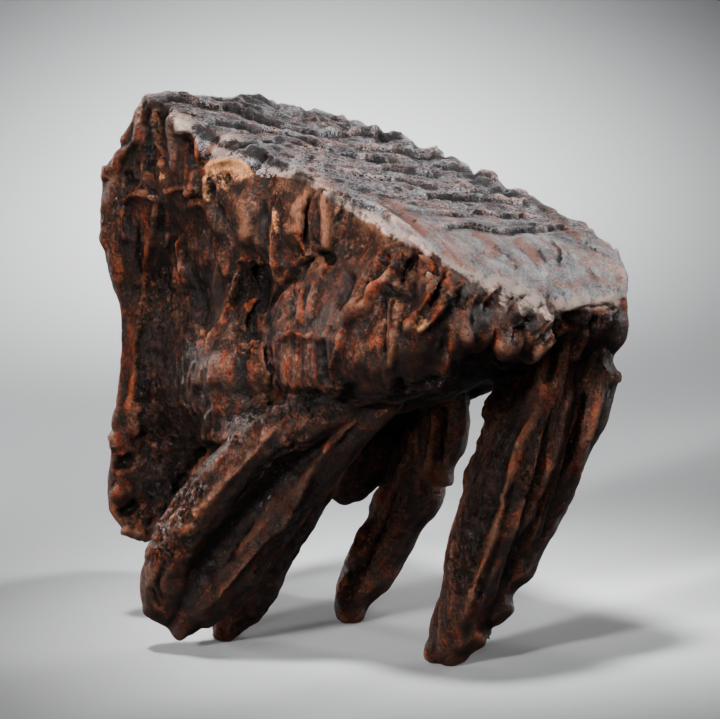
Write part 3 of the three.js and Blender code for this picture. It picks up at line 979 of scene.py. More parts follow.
TINTS: dict[Zone, tuple[Tint, ...]] = {
    Zone.BLACK_AND_SHADE: (
        # Black walls of the enamel edges.
        Tint(((155, 101), (200, 106), (228, 109), (245, 114)), 3.0, 0.9),
        Tint(((236, 106), (250, 112), (262, 118), (285, 124), (300, 129)), 5.0, 0.9),
        Tint(((322, 136), (350, 137), (380, 139), (410, 141)), 4.0, 1.0),
        Tint(((203, 130), (215, 124), (235, 124), (255, 131)), 5.0, 0.8),
        Tint(((262, 133), (290, 135), (312, 143), (330, 150), (350, 156), (372, 160)), 3.0, 1.0),
        Tint(((352, 149), (380, 150), (400, 153)), 3.0, 0.7),
        Tint(((418, 156), (430, 158), (453, 159)), 3.5, 1.0),
        Tint(((378, 166), (400, 168), (428, 174)), 6.0, 0.95),
        Tint(((382, 179), (410, 182), (440, 189)), 3.0, 1.0),
        Tint(((340, 174), (370, 174)), 2.5, 0.6),
        Tint(((425, 170), (460, 172), (485, 176), (498, 184)), 3.5, 0.7),
        Tint(((418, 197), (440, 198)), 2.5, 0.8),
        Tint(((460, 198), (485, 199), (532, 204)), 4.0, 1.0),
        Tint(((398, 208), (440, 213), (480, 213), (530, 217)), 5.0, 0.45),
        Tint(((480, 229), (500, 232), (518, 234)), 3.0, 1.0),
        Tint(((440, 226), (470, 227), (520, 229), (560, 226)), 6.0, 0.4),
        Tint(((550, 240), (560, 252), (559, 268)), 4.0, 0.6),
        Tint(((585, 240), (598, 250)), 4.0, 0.6),
        # Dark lumps along the far rim and the darker back of the face.
        Tint(((285, 108), (310, 116), (335, 118), (360, 124), (385, 132), (410, 140)), 10, 0.65),
        Tint(((240, 99), (262, 100), (280, 107)), 8, 0.6),
        Tint(((420, 148), (450, 158), (480, 172), (505, 186)), 8, 0.6),
        Tint(((505, 190), (540, 204), (570, 222)), 6, 0.5),
        Tint(((310, 140), (360, 150), (410, 162), (460, 182)), 14, 0.42),
        # Dark hollows of the near wall.
        Tint(((150, 108), (149, 140), (150, 175)), 8, 0.9),
        Tint(((166, 115), (165, 145), (168, 160)), 6, 0.9),
        Tint(((180, 140), (186, 160)), 6, 0.6),
        Tint(((262, 205), (262, 235), (264, 262)), 7, 0.9),
        Tint(((258, 268), (254, 300), (250, 345)), 20, 0.70),
        Tint(((190, 268), (205, 285), (203, 310), (205, 335)), 18, 1.0),
        Tint(((165, 300), (160, 340), (175, 400), (180, 450), (160, 520)), 34, 0.65),
        Tint(((310, 262), (292, 278), (284, 292)), 8, 0.9),
        Tint(((405, 258), (408, 280), (402, 305)), 18, 1.0),
        Tint(((352, 260), (345, 290), (338, 315)), 12, 0.7),
        Tint(((321, 335), (322, 365), (328, 390)), 10, 0.9),
        Tint(((442, 325), (437, 342), (430, 355)), 11, 0.7),
        Tint(((490, 300), (482, 318)), 6, 0.8),
        Tint(((562, 322), (590, 318), (615, 312)), 7, 0.9),
        # Painted shade: the underside of the lip, the foot of the wall, the valley of the near root,
        # the shadowed root and the root sides turned from the lamps are painted dark.
        Tint(((385, 400), (420, 392), (455, 384), (490, 376)), 18, 1.2),
        Tint(((320, 482), (296, 522), (270, 558), (246, 594), (222, 624)), 15, 1.0),
        Tint(((300, 480), (262, 520), (232, 556), (205, 592)), 12, 0.45),
        Tint(((230, 420), (260, 418), (290, 405), (330, 400), (370, 408)), 22, 0.75),
        Tint(((470, 380), (500, 385), (520, 400), (500, 440), (480, 500), (470, 560)), 26, 1.0),
        Tint(((380, 420), (350, 450), (320, 480), (280, 550), (240, 620)), 26, 0.9),
        # Dark dents of the lip.
        Tint(((490, 246), (508, 258), (520, 270)), 5, 0.6),
        Tint(((536, 250), (548, 262)), 4, 0.8),
    ),
    Zone.PALE_AND_HIGHLIGHT: (
        # Pale rim, bluish where it is polished.
        Tint(
            ((256, 168), (300, 175), (325, 187), (345, 202), (372, 219), (400, 237), (430, 251),
             (446, 262)),
            8, 1.25,
        ),
        Tint(((440, 256), (466, 268), (484, 284)), 10, 1.3),
        Tint(((490, 296), (500, 290)), 7, 0.7),
        Tint(((482, 284), (510, 291), (530, 301), (550, 308), (572, 310)), 13, 1.6),
        # Pale lobes under the lip, painted brighter as highlights where they face up into the light.
        Tint(((513, 288), (503, 308)), 10, 1.5),
        Tint(((533, 298), (524, 318)), 10, 1.5),
        Tint(((556, 305), (546, 322)), 10, 1.4),
        Tint(((565, 304), (595, 304), (624, 296)), 9, 1.3),
        # Lobes of the back corner: pink, painted brighter as highlights.
        Tint(((186, 108), (184, 125), (186, 138)), 16, 1.1),
        Tint(((242, 134), (225, 146), (212, 158)), 13, 1.1),
        # Small painted highlights on crests of the wall.
        Tint(((142, 106), (138, 125)), 6, 0.6),
        Tint(((145, 194), (155, 198)), 4, 0.7),
        Tint(((230, 305), (227, 318)), 3, 0.8),
        Tint(((300, 225), (312, 232)), 3, 0.8),
        Tint(((303, 248), (312, 256)), 8, 0.5),
    ),
    Zone.OCHRE: (
        # Ochre facets.
        Tint(((204, 170), (218, 166), (232, 166), (246, 170), (254, 178)), 14, 1.2),
        Tint(((222, 180), (224, 190)), 6, 0.8),
        Tint(((207, 175), (206, 203)), 4, 0.9),
        Tint(((262, 174), (285, 172), (300, 176)), 6, 0.5),
        Tint(((195, 190), (200, 194)), 4, 0.7),
        Tint(((198, 322), (200, 337)), 5, 0.9),
        Tint(((272, 210), (275, 235)), 4, 0.7),
        Tint(((415, 330), (425, 318)), 8, 0.8),
        Tint(((158, 175), (162, 180)), 4, 0.8),
    ),
    Zone.RUST: (
        # Rust along crests.
        Tint(((112, 240), (122, 290), (128, 340), (127, 390), (118, 430)), 12, 0.9),
        Tint(((145, 205), (148, 240), (142, 280)), 9, 0.9),
        Tint(((150, 245), (158, 268)), 8, 0.8),
        Tint(((180, 238), (182, 262)), 4, 0.9),
        Tint(((222, 205), (230, 225), (236, 245)), 6, 0.7),
        Tint(((228, 250), (230, 270)), 6, 0.9),
        Tint(((222, 325), (212, 342)), 5, 1.0),
        Tint(((430, 255), (434, 285), (425, 305)), 8, 0.9),
        Tint(((466, 276), (452, 292)), 10, 0.9),
        Tint(((440, 300), (425, 322), (412, 335)), 9, 0.7),
        Tint(((303, 285), (301, 325)), 6, 0.8),
        Tint(((268, 326), (280, 330)), 5, 0.8),
        Tint(((345, 340), (336, 370)), 7, 0.8),
        Tint(((365, 330), (375, 345)), 10, 0.6),
        Tint(((155, 110), (157, 130), (163, 150)), 4, 0.8),
        Tint(((126, 155), (118, 165), (116, 185)), 6, 0.8),
        Tint(((216, 142), (206, 156)), 4, 0.9),
        Tint(((170, 195), (182, 192)), 6, 0.6),
        Tint(((500, 284), (486, 294)), 4, 0.9),
        Tint(((518, 300), (508, 314)), 5, 0.9),
        Tint(((545, 325), (525, 338)), 6, 0.8),
        Tint(((376, 196), (400, 212), (430, 240)), 8, 0.9),
        Tint(((300, 178), (330, 186), (352, 200)), 6, 0.8),
        Tint(((472, 230), (488, 244), (502, 258)), 7, 0.9),
        Tint(((513, 238), (528, 250), (542, 260)), 7, 0.9),
        Tint(((540, 208), (560, 222), (585, 240)), 8, 0.7),
        Tint(((440, 250), (462, 262), (480, 274)), 6, 0.8),
        Tint(((560, 285), (590, 280), (615, 276)), 8, 0.6),
        Tint(((480, 345), (500, 358), (514, 364)), 7, 0.6),
        Tint(((560, 400), (540, 470), (515, 550), (500, 610)), 9, 0.5),
        Tint(((300, 470), (260, 520), (230, 570)), 14, 0.5),
    ),
    Zone.BROWN: (
        # Brown under the rim.
        Tint(
            ((262, 184), (300, 188), (325, 200), (345, 214), (372, 232), (400, 248), (425, 258)),
            14, 1.2,
        ),
        # Brown where the wall is worn smooth.
        Tint(((243, 190), (246, 220), (250, 250)), 20, 1.2),
        Tint(((290, 185), (298, 200), (292, 235)), 20, 0.9),
        Tint(((326, 192), (328, 220), (329, 254)), 11, 1.2),
        Tint(((276, 225), (276, 262)), 5, 0.9),
        Tint(((355, 215), (375, 228)), 12, 0.5),
        Tint(((392, 262), (380, 290), (350, 318)), 6, 0.8),
        Tint(((372, 264), (366, 290), (345, 321)), 4, 0.9),
        Tint(((182, 240), (188, 275), (194, 290)), 5, 0.9),
        Tint(((210, 355), (208, 385)), 6, 0.9),
        # Brown along the root crests: partly smooth wear, partly painted light where the crests face
        # the lamps.
        Tint(((290, 412), (262, 440), (232, 470), (205, 500), (170, 540)), 11, 0.9),
        Tint(((250, 440), (228, 468), (200, 495)), 18, 0.6),
        Tint(((376, 412), (330, 440), (300, 470)), 6, 0.7),
        Tint(((534, 412), (510, 475), (502, 510)), 7, 0.9),
        Tint(((495, 530), (482, 570), (468, 610)), 12, 0.9),
        Tint(((392, 470), (362, 535), (342, 590)), 6, 0.7),
        Tint(((430, 470), (430, 486)), 6, 0.7),
    ),
    Zone.PAINTED_SHEEN: (
        # Purple-grey painted sheen: a glossy reflection painted into the colour.
        Tint(((162, 300), (160, 340), (172, 400), (176, 450), (160, 515)), 30, 0.9),
        Tint(((145, 350), (145, 390)), 12, 0.9),
        Tint(((140, 400), (138, 430)), 14, 0.6),
        Tint(((200, 235), (205, 265)), 12, 0.7),
        Tint(((370, 300), (352, 318)), 6, 0.9),
        Tint(((395, 300), (396, 340)), 8, 0.6),
        Tint(((285, 215), (290, 240)), 12, 0.4),
        Tint(((108, 168), (106, 180)), 7, 0.8),
        Tint(((150, 165), (154, 172)), 6, 0.6),
        Tint(((436, 410), (434, 455)), 5, 0.7),
    ),
}


@dataclass
class Tooth:
    """The whole tooth: a blank from the modelled solid, worked into its finished skin."""

    sheet: Sheet = field(default_factory=Sheet)
    grid: Grid = field(default_factory=Grid)
    name: str = "fossil_tooth"
    voxel: float = 1.0
    fuse_rounds: int = 22
    relief: float = 1.3
    triangles: int = 192000
    spare_levels: int = 20
    rib_lean: float = 0.12
    tint_spread: float = 1.35
    tint_fade: float = 0.12
    plane_cell: float = 4.0
    plane_blur: float = 3.2
    plane_limit: float = 6.0
    plane_share: float = 0.6

    def build(self) -> bpy.types.Object:
        """Make the tooth.

        Returns:
            The finished object.
        """
        blank = self.rough_out()
        self.pack(blank)
        skin = Skin(blank.data)
        LOG.info("blank has %d places", len(skin.places))
        self.fuse(skin)
        self.nudge(skin)
        self.level(skin)
        self.carve(skin)
        self.step_enamel(skin)
        self.roughen(skin)
        self.stand(skin)
        skin.refresh()
        self.thin(blank, skin)
        finished = Skin(blank.data)
        self.paint(finished)
        return blank

    def rough_out(self) -> bpy.types.Object:
        """Copy the modelled solid, merge its corners and wrap it in one even skin.

        Returns:
            The blank.
        """
        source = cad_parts["tooth"]
        bpy.ops.object.select_all(action="DESELECT")
        blank = bpy.data.objects.new(self.name, source.data.copy())
        bpy.context.scene.collection.objects.link(blank)
        blank.data.materials.clear()
        bpy.context.view_layer.objects.active = blank
        blank.select_set(True)
        bpy.ops.object.mode_set(mode="EDIT")
        bpy.ops.mesh.select_all(action="SELECT")
        bpy.ops.mesh.remove_doubles(threshold=1e-6)
        bpy.ops.object.mode_set(mode="OBJECT")
        self.wrap(blank)
        return blank

    def wrap(self, blank: bpy.types.Object) -> None:
        """Wrap the blank in one even skin.

        Args:
            blank: The object, which has to be active.
        """
        bpy.ops.object.modifier_add(type="REMESH")
        cover = blank.modifiers[-1]
        cover.mode = "VOXEL"
        cover.voxel_size = self.voxel * MM
        bpy.ops.object.modifier_apply(modifier=cover.name)

    def pack(self, blank: bpy.types.Object) -> None:
        """Pack the hollows of the near wall up to the levels it should have, and wrap it again.

        Args:
            blank: The blank.
        """
        skin = Skin(blank.data)
        open_side = 1.0 - smooth_step(0.0, 0.35, skin.normals @ self.sheet.forward())
        for level in LEVELS:
            drawn = self.sheet.draw(skin.places)
            target, share = level.read(drawn)
            sunk = drawn[:, 2] - self.sheet.distance - target
            share = share * open_side * (1.0 - smooth_step(level.reach - 6.0, level.reach, sunk))
            skin.places = skin.places - (share * np.maximum(sunk, 0.0))[:, None] * self.sheet.forward()
        for shove in SHOVES:
            away = np.linalg.norm(skin.places - np.array(shove.middle), axis=1) / shove.reach
            skin.places += fall_off(away) * np.array(shove.way)
        skin.refresh()
        self.wrap(blank)

    def fuse(self, skin: Skin) -> None:
        """Melt the facets and seams of the blank into flowing folds."""
        skin.smooth(self.fuse_rounds)
        skin.refresh()

    def level(self, skin: Skin) -> None:
        """Plane the near wall, so that its folds come from the strokes.

        Args:
            skin: The skin.
        """
        drawn = self.sheet.draw(skin.places)
        wall = self.shown(skin) * (1.0 - self.worn_share(skin))
        right, down = drawn[:, 0], drawn[:, 1]
        wall *= smooth_step(105, 125, right) * (1.0 - smooth_step(455, 490, right))
        wall *= 1.0 - smooth_step(375, 400, down - 0.35 * np.maximum(0.0, 250.0 - right))
        cell = self.plane_cell
        side = int(self.sheet.width / cell) + 2
        column = np.clip((right / cell).astype(int), 0, side - 1)
        row = np.clip((down / cell).astype(int), 0, side - 1)
        spot = row * side + column
        weight = np.bincount(spot, wall, side * side).reshape(side, side)
        depth = np.bincount(spot, wall * drawn[:, 2], side * side).reshape(side, side)
        reach = np.arange(-9, 10)
        kernel = np.exp(-0.5 * (reach / self.plane_blur) ** 2)
        for axis in (0, 1):
            weight = np.apply_along_axis(np.convolve, axis, weight, kernel, "same")
            depth = np.apply_along_axis(np.convolve, axis, depth, kernel, "same")
        level = (depth / np.maximum(weight, 1e-6))[row, column]
        move = np.clip(level - drawn[:, 2], -self.plane_limit, self.plane_limit)
        move = move * wall * self.plane_share
        move = skin.relax(move, 3)
        skin.places = skin.places + move[:, None] * self.sheet.forward()
        skin.refresh()

    def nudge(self, skin: Skin) -> None:
        """Shift parts of the form sideways until its outline is right.

        Args:
            skin: The skin.
        """
        drawn = self.sheet.draw(skin.places)
        moves = np.zeros((len(drawn), 2))
        for nudge in NUDGES:
            away = np.linalg.norm(drawn[:, :2] - np.array(nudge.middle), axis=1) / nudge.reach
            moves += fall_off(away) * np.array(nudge.way)
        moves *= self.sheet.unit * (drawn[:, 2] / self.sheet.distance)[:, None]
        skin.places[:, 0] += moves[:, 0]
        skin.places = skin.places - moves[:, 1:2] * self.sheet.upward()
        skin.refresh()

    def wander(self, skin: Skin, reach: float) -> Array:
        """Lay the skin on the sheet with its places shaken, so that no line on it runs clean.

        Args:
            skin: The skin.
            reach: How far a place strays, in sheet units.

        Returns:
            Rows of right, down and depth.
        """
        drawn = self.sheet.draw(skin.places)
        for axis, seed in ((0, 21), (1, 22)):
            noise = LatticeNoise(seed)
            stray = noise.at(skin.places, 8.0) + 0.6 * noise.at(skin.places + 40.0, 3.2)
            drawn[:, axis] += reach * stray
        return drawn

    def shown(self, skin: Skin) -> Array:
        """How fully each place of the skin shows on the sheet."""
        return self.sheet.seen(self.sheet.draw(skin.places), skin.normals)

    def ribbed(self, skin: Skin, stretch: float) -> Array:
        """Lay the skin along the ribs of the walls, so that a pattern on it runs with them.

        Args:
            skin: The skin.
            stretch: How much a pattern is drawn out down the ribs, as a share of its height.

        Returns:
            Rows of along, across and down.
        """
        along, across = self.grid.along_across(skin.places)
        lean = skin.places[:, 2]
        return np.stack([along + self.rib_lean * lean, across, stretch * lean], axis=1)

    def worn_share(self, skin: Skin) -> Array:
        """How far each place belongs to the chewing face.

        Args:
            skin: The skin.

        Returns:
            A share from 0 to 1 for each place.
        """
        proud = self.grid.worn_height(skin.places) - skin.places[:, 2]
        flat = self.grid.flatness(skin.normals)
        return smooth_step(0.55, 0.8, flat) * (1.0 - smooth_step(4.0, 7.0, np.abs(proud)))

    def step_enamel(self, skin: Skin) -> None:
        """Flatten the chewing face and raise its enamel edges.

        Args:
            skin: The skin.
        """
        share = skin.relax(self.worn_share(skin), 3)
        height = self.grid.worn_height(skin.places)
        skin.places[:, 2] += 0.85 * share * (height - skin.places[:, 2])
        skin.refresh()
        drawn = self.sheet.draw(skin.places)
        noise = LatticeNoise(5)
        drawn[:, 1] += 2.0 * noise.layered(skin.places, 11.0, 3, 0.55)
        heights = np.zeros(len(skin.places))
        for stroke in ENAMEL_STROKES:
            heights += self.stroke_height(stroke, drawn)
        along, across = self.grid.along_across(skin.places)
        bent = along + 2.4 * noise.at(skin.places + 9.0, 12.0)
        for plate in PLATE_EDGES:
            rise = np.clip(1.0 - np.abs(bent - plate) / 4.5, 0.0, 1.0) * np.sign(bent - plate)
            heights += 0.12 * rise * smooth_step(-62.0, -30.0, across)
        inner = 1.0 - smooth_step(38.0, 52.0, across - 0.1 * along)
        grain = noise.layered(skin.places + 50.0, 4.0, 2) * (0.35 + 0.65 * inner)
        back = smooth_step(20.0, 60.0, along)
        heights = heights * (1.0 + 0.45 * grain) + (0.25 + 0.45 * back) * grain
        skin.places[:, 2] += share * heights
        skin.refresh()

    def carve(self, skin: Skin) -> None:
        """Work every stroke of the front sheet into the skin.

        Args:
            skin: The skin.
        """
        seen = self.shown(skin)
        drawn = self.wander(skin, 1.4)
        heights = np.zeros(len(skin.places))
        for stroke in STROKES:
            heights += self.relief * self.stroke_height(stroke, drawn) * seen
        skin.push(heights)
        skin.refresh()

    def stroke_height(self, stroke: Stroke, drawn: Array) -> Array:
        """Heights that one stroke gives.

        Args:
            stroke: The stroke.
            drawn: Places on the sheet.

        Returns:
            A height for each place.
        """
        line = curved(stroke.line)
        index, distance, side, share = along_line(drawn, line, stroke.width)
        across = distance / stroke.width
        if stroke.form is Form.RIDGE:
            profile = (1.0 - across**2) ** 2
        elif stroke.form is Form.CREST:
            profile = (1.0 - across) ** 1.6
        elif stroke.form is Form.GROOVE:
            profile = -((1.0 - across**2) ** 2)
        elif stroke.form is Form.CRACK:
            profile = -((1.0 - across) ** 1.4)
        else:
            profile = np.sign(side) * (1.0 - across) * 0.5
        ends = smooth_step(0.0, max(stroke.fade, 1e-3), share)
        ends = ends * smooth_step(0.0, max(stroke.fade, 1e-3), 1.0 - share)
        heights = np.zeros(len(drawn))
        heights[index] = stroke.height * profile * ends
        return heights

    def roughen(self, skin: Skin) -> None:
        """Give the skin its fluting and grain.

        Args:
            skin: The skin.
        """
        flutes = LatticeNoise(11)
        grit = LatticeNoise(12)
        worn = self.worn_share(skin)
        hidden = 1.0 - self.shown(skin)
        broad = 0.22 + 0.45 * hidden
        heights = np.zeros(len(skin.places))
        rooted = np.zeros(len(skin.places))
        for fibre in FIBRES:
            spot, belongs = fibre.follow(skin.places, self.grid.shift)
            stretched = spot * np.array([1.0, 1.0, 0.16])
            fluting = broad * flutes.at(stretched, 4.6) + 0.34 * flutes.at(stretched + 31.0, 2.4)
            heights += belongs * fluting
            rooted = np.maximum(rooted, belongs)
        ribs = self.ribbed(skin, 0.16)
        wall = (1.0 - rooted) * (1.0 - worn)
        heights += wall * (0.55 * flutes.at(ribs, 5.2) + 0.35 * flutes.at(ribs + 13.0, 2.6))
        lumps = flutes.at(skin.places, 13.0)
        heights += (1.0 - worn) * (0.6 * lumps + 0.3 * grit.at(skin.places, 3.0))
        gritty = self.grit_share(skin)
        heights += (0.12 + 0.85 * gritty) * (1.0 - worn) * grit.at(skin.places, 2.1)
        skin.push(heights)

    def grit_share(self, skin: Skin) -> Array:
        """How far each place is crusted with grit, which lodges in the hollows.

        Args:
            skin: The skin.

        Returns:
            A share from 0 to 1 for each place.
        """
        sunk = smooth_step(0.05, 0.8, -skin.crown_of_form(14, 1.3))
        drawn = self.wander(skin, 3.0)
        seen = self.shown(skin)
        crust = np.zeros(len(skin.places))
        for tint in GRIT_PATCHES:
            index, distance, _, _ = along_line(drawn, curved(tint.line), tint.width)
            value = tint.strength * (1.0 - smooth_step(0.5, 1.0, distance / tint.width)) * seen[index]
            crust[index] = np.maximum(crust[index], value)
        return np.maximum(0.7 * sunk, crust)

    def stand(self, skin: Skin) -> None:
        """Keep the root tips flat on the ground they rest on."""
        skin.places[:, 2] = np.maximum(skin.places[:, 2], 0.0)

    def thin(self, blank: bpy.types.Object, skin: Skin) -> None:
        """Spend the triangles where they show most.

        Args:
            blank: The worked object.
            skin: Its skin.
        """
        spare = skin.relax(1.0 - 0.75 * self.shown(skin), 4)
        group = blank.vertex_groups.new(name="spare")
        levels = np.round(spare * self.spare_levels).astype(int)
        for level in range(self.spare_levels + 1):
            members = np.nonzero(levels == level)[0]
            if len(members):
                group.add(members.tolist(), level / self.spare_levels, "REPLACE")
        faces = sum(len(polygon.vertices) - 2 for polygon in blank.data.polygons)
        bpy.ops.object.modifier_add(type="DECIMATE")
        knife = blank.modifiers[-1]
        knife.decimate_type = "COLLAPSE"
        knife.ratio = min(1.0, self.triangles / faces)
        knife.vertex_group = group.name
        knife.vertex_group_factor = 2.0
        bpy.ops.object.modifier_apply(modifier=knife.name)
        blank.vertex_groups.clear()
        bpy.ops.object.shade_smooth()
        LOG.info("thinned %d triangles to %d", faces, len(blank.data.polygons))

    def worn_zone(self, skin: Skin, drawn: Array) -> Array:
        """Colour zone of the chewing face: what lies on it, bounded by its near rim.

        Args:
            skin: The skin.
            drawn: Its places on the sheet.

        Returns:
            A share from 0 to 1 for each place.
        """
        height = self.grid.worn_height(skin.places) - skin.places[:, 2]
        flat = self.grid.flatness(skin.normals)
        zone = smooth_step(0.25, 0.6, flat) * (1.0 - smooth_step(7.0, 11.0, np.abs(height)))
        line = curved(RIM, 3)
        index, distance, side, _ = along_line(drawn, line, 60.0)
        above = np.zeros(len(drawn))
        above[index] = smooth_step(-3.0, 2.0, side)
        near = np.zeros(len(drawn))
        near[index] = 1.0
        beside = np.zeros(len(drawn))
        beside[index] = above[index] * (1.0 - smooth_step(24.0, 34.0, distance))
        beside *= self.sheet.seen(drawn, skin.normals) * (1.0 - smooth_step(10.0, 15.0, np.abs(height)))
        return np.maximum(zone, beside) * (1.0 - near * (1.0 - above))

    def rim_zone(self, skin: Skin) -> Array:
        """Pale zone along the rounded near rim of the chewing face.

        Args:
            skin: The skin.

        Returns:
            A share from 0 to 1 for each place.
        """
        away = np.abs(self.grid.worn_height(skin.places) - skin.places[:, 2])
        along, across = self.grid.along_across(skin.places)
        convex = smooth_step(0.1, 0.9, skin.crown_of_form(40, 2.2))
        near = 1.0 - smooth_step(-38.0, -20.0, across)
        front = 1.0 - smooth_step(-4.0, 8.0, along)
        zone = convex * (1.0 - smooth_step(3.0, 7.0, away)) * np.maximum(near, front)
        drawn = self.sheet.draw(skin.places)
        index, distance, side, _ = along_line(drawn, curved(RIM, 3), 16.0)
        close = 1.0 - self.shown(skin)
        past = distance - np.minimum(side, 0.0) * 0.5
        close[index] = np.maximum(close[index], 1.0 - smooth_step(6.0, 14.0, past))
        return zone * close

    def streak_zone(self, skin: Skin) -> Array:
        """Streaks that run with the fibres of the roots and the ribs of the walls.

        Args:
            skin: The skin.

        Returns:
            A value from 0 to 1 for each place.
        """
        noise = LatticeNoise(31)
        ribs = self.ribbed(skin, 0.12)
        streaks = noise.at(ribs, 2.6) + 0.6 * noise.at(ribs + 9.0, 1.4)
        for fibre in FIBRES:
            spot, belongs = fibre.follow(skin.places, self.grid.shift)
            stretched = spot * np.array([1.0, 1.0, 0.10])
            rooted = noise.at(stretched, 2.6) + 0.6 * noise.at(stretched + 9.0, 1.4)
            streaks = streaks * (1.0 - belongs) + rooted * belongs
        return 0.5 + 0.5 * np.clip(streaks, -1.0, 1.0)

    def paint(self, skin: Skin) -> None:
        """Paint the zones of colour on the skin.

        Args:
            skin: The skin.
        """
        seen = self.shown(skin)
        drawn = self.wander(skin, 2.2)
        zones = {zone: np.zeros(len(skin.places)) for zone in Zone}
        for zone, tints in TINTS.items():
            for tint in tints:
                width = self.tint_spread * tint.width
                index, distance, _, share = along_line(drawn, curved(tint.line), width)
                value = tint.strength * (1.0 - smooth_step(0.0, 1.0, distance / width)) * seen[index]
                value = value * smooth_step(0.0, self.tint_fade, share)
                value = value * smooth_step(0.0, self.tint_fade, 1.0 - share)
                zones[zone][index] = np.maximum(zones[zone][index], value)
        # Crest zone: how far each place stands out of its surroundings. The finish darkens the hollows
        # by it as painted shade and lightens the worn crests.
        fine, broad = skin.crown_of_form(12, 0.9), skin.crown_of_form(60, 3.2)
        zones[Zone.CREST] = 0.5 + 0.22 * fine + 0.30 * broad
        zones[Zone.WORN] = self.worn_zone(skin, self.sheet.draw(skin.places))
        zones[Zone.PALE_AND_HIGHLIGHT] = np.maximum(zones[Zone.PALE_AND_HIGHLIGHT], self.rim_zone(skin))
        zones[Zone.GRIT] = self.grit_share(skin)
        along, across = self.grid.along_across(skin.places)
        zones[Zone.ROUGH] = smooth_step(16.0, 40.0, along + 0.35 * (across - 10.0))
        zones[Zone.STREAK] = self.streak_zone(skin)
        under = skin.relax(smooth_step(0.1, 0.6, -skin.normals[:, 2]), 2)
        zones[Zone.UNDER] = under
        # Painted shade: places that face down are darkened with the black colour.
        zones[Zone.BLACK_AND_SHADE] = np.maximum(zones[Zone.BLACK_AND_SHADE], 0.75 * under)
        riser = smooth_step(0.22, 0.52, -(skin.normals @ np.array([0.0, 0.99, -0.11])))
        away = np.abs(self.grid.worn_height(skin.places) - skin.places[:, 2])
        inner = smooth_step(14.0, 22.0, along)
        inner = inner * smooth_step(-58.0, -40.0, across + 0.25 * (along - 60.0))
        riser = riser * (1.0 - smooth_step(3.0, 5.0, away)) * inner
        riser = riser * smooth_step(-0.35, 0.15, LatticeNoise(41).layered(skin.places, 9.0, 2))
        zones[Zone.BLACK_AND_SHADE] = np.maximum(zones[Zone.BLACK_AND_SHADE], skin.relax(riser, 1))
        for zone, values in zones.items():
            attribute = skin.mesh.attributes.new(zone.value, "FLOAT", "POINT")
            attribute.data.foreach_set("value", values.astype(np.float32))


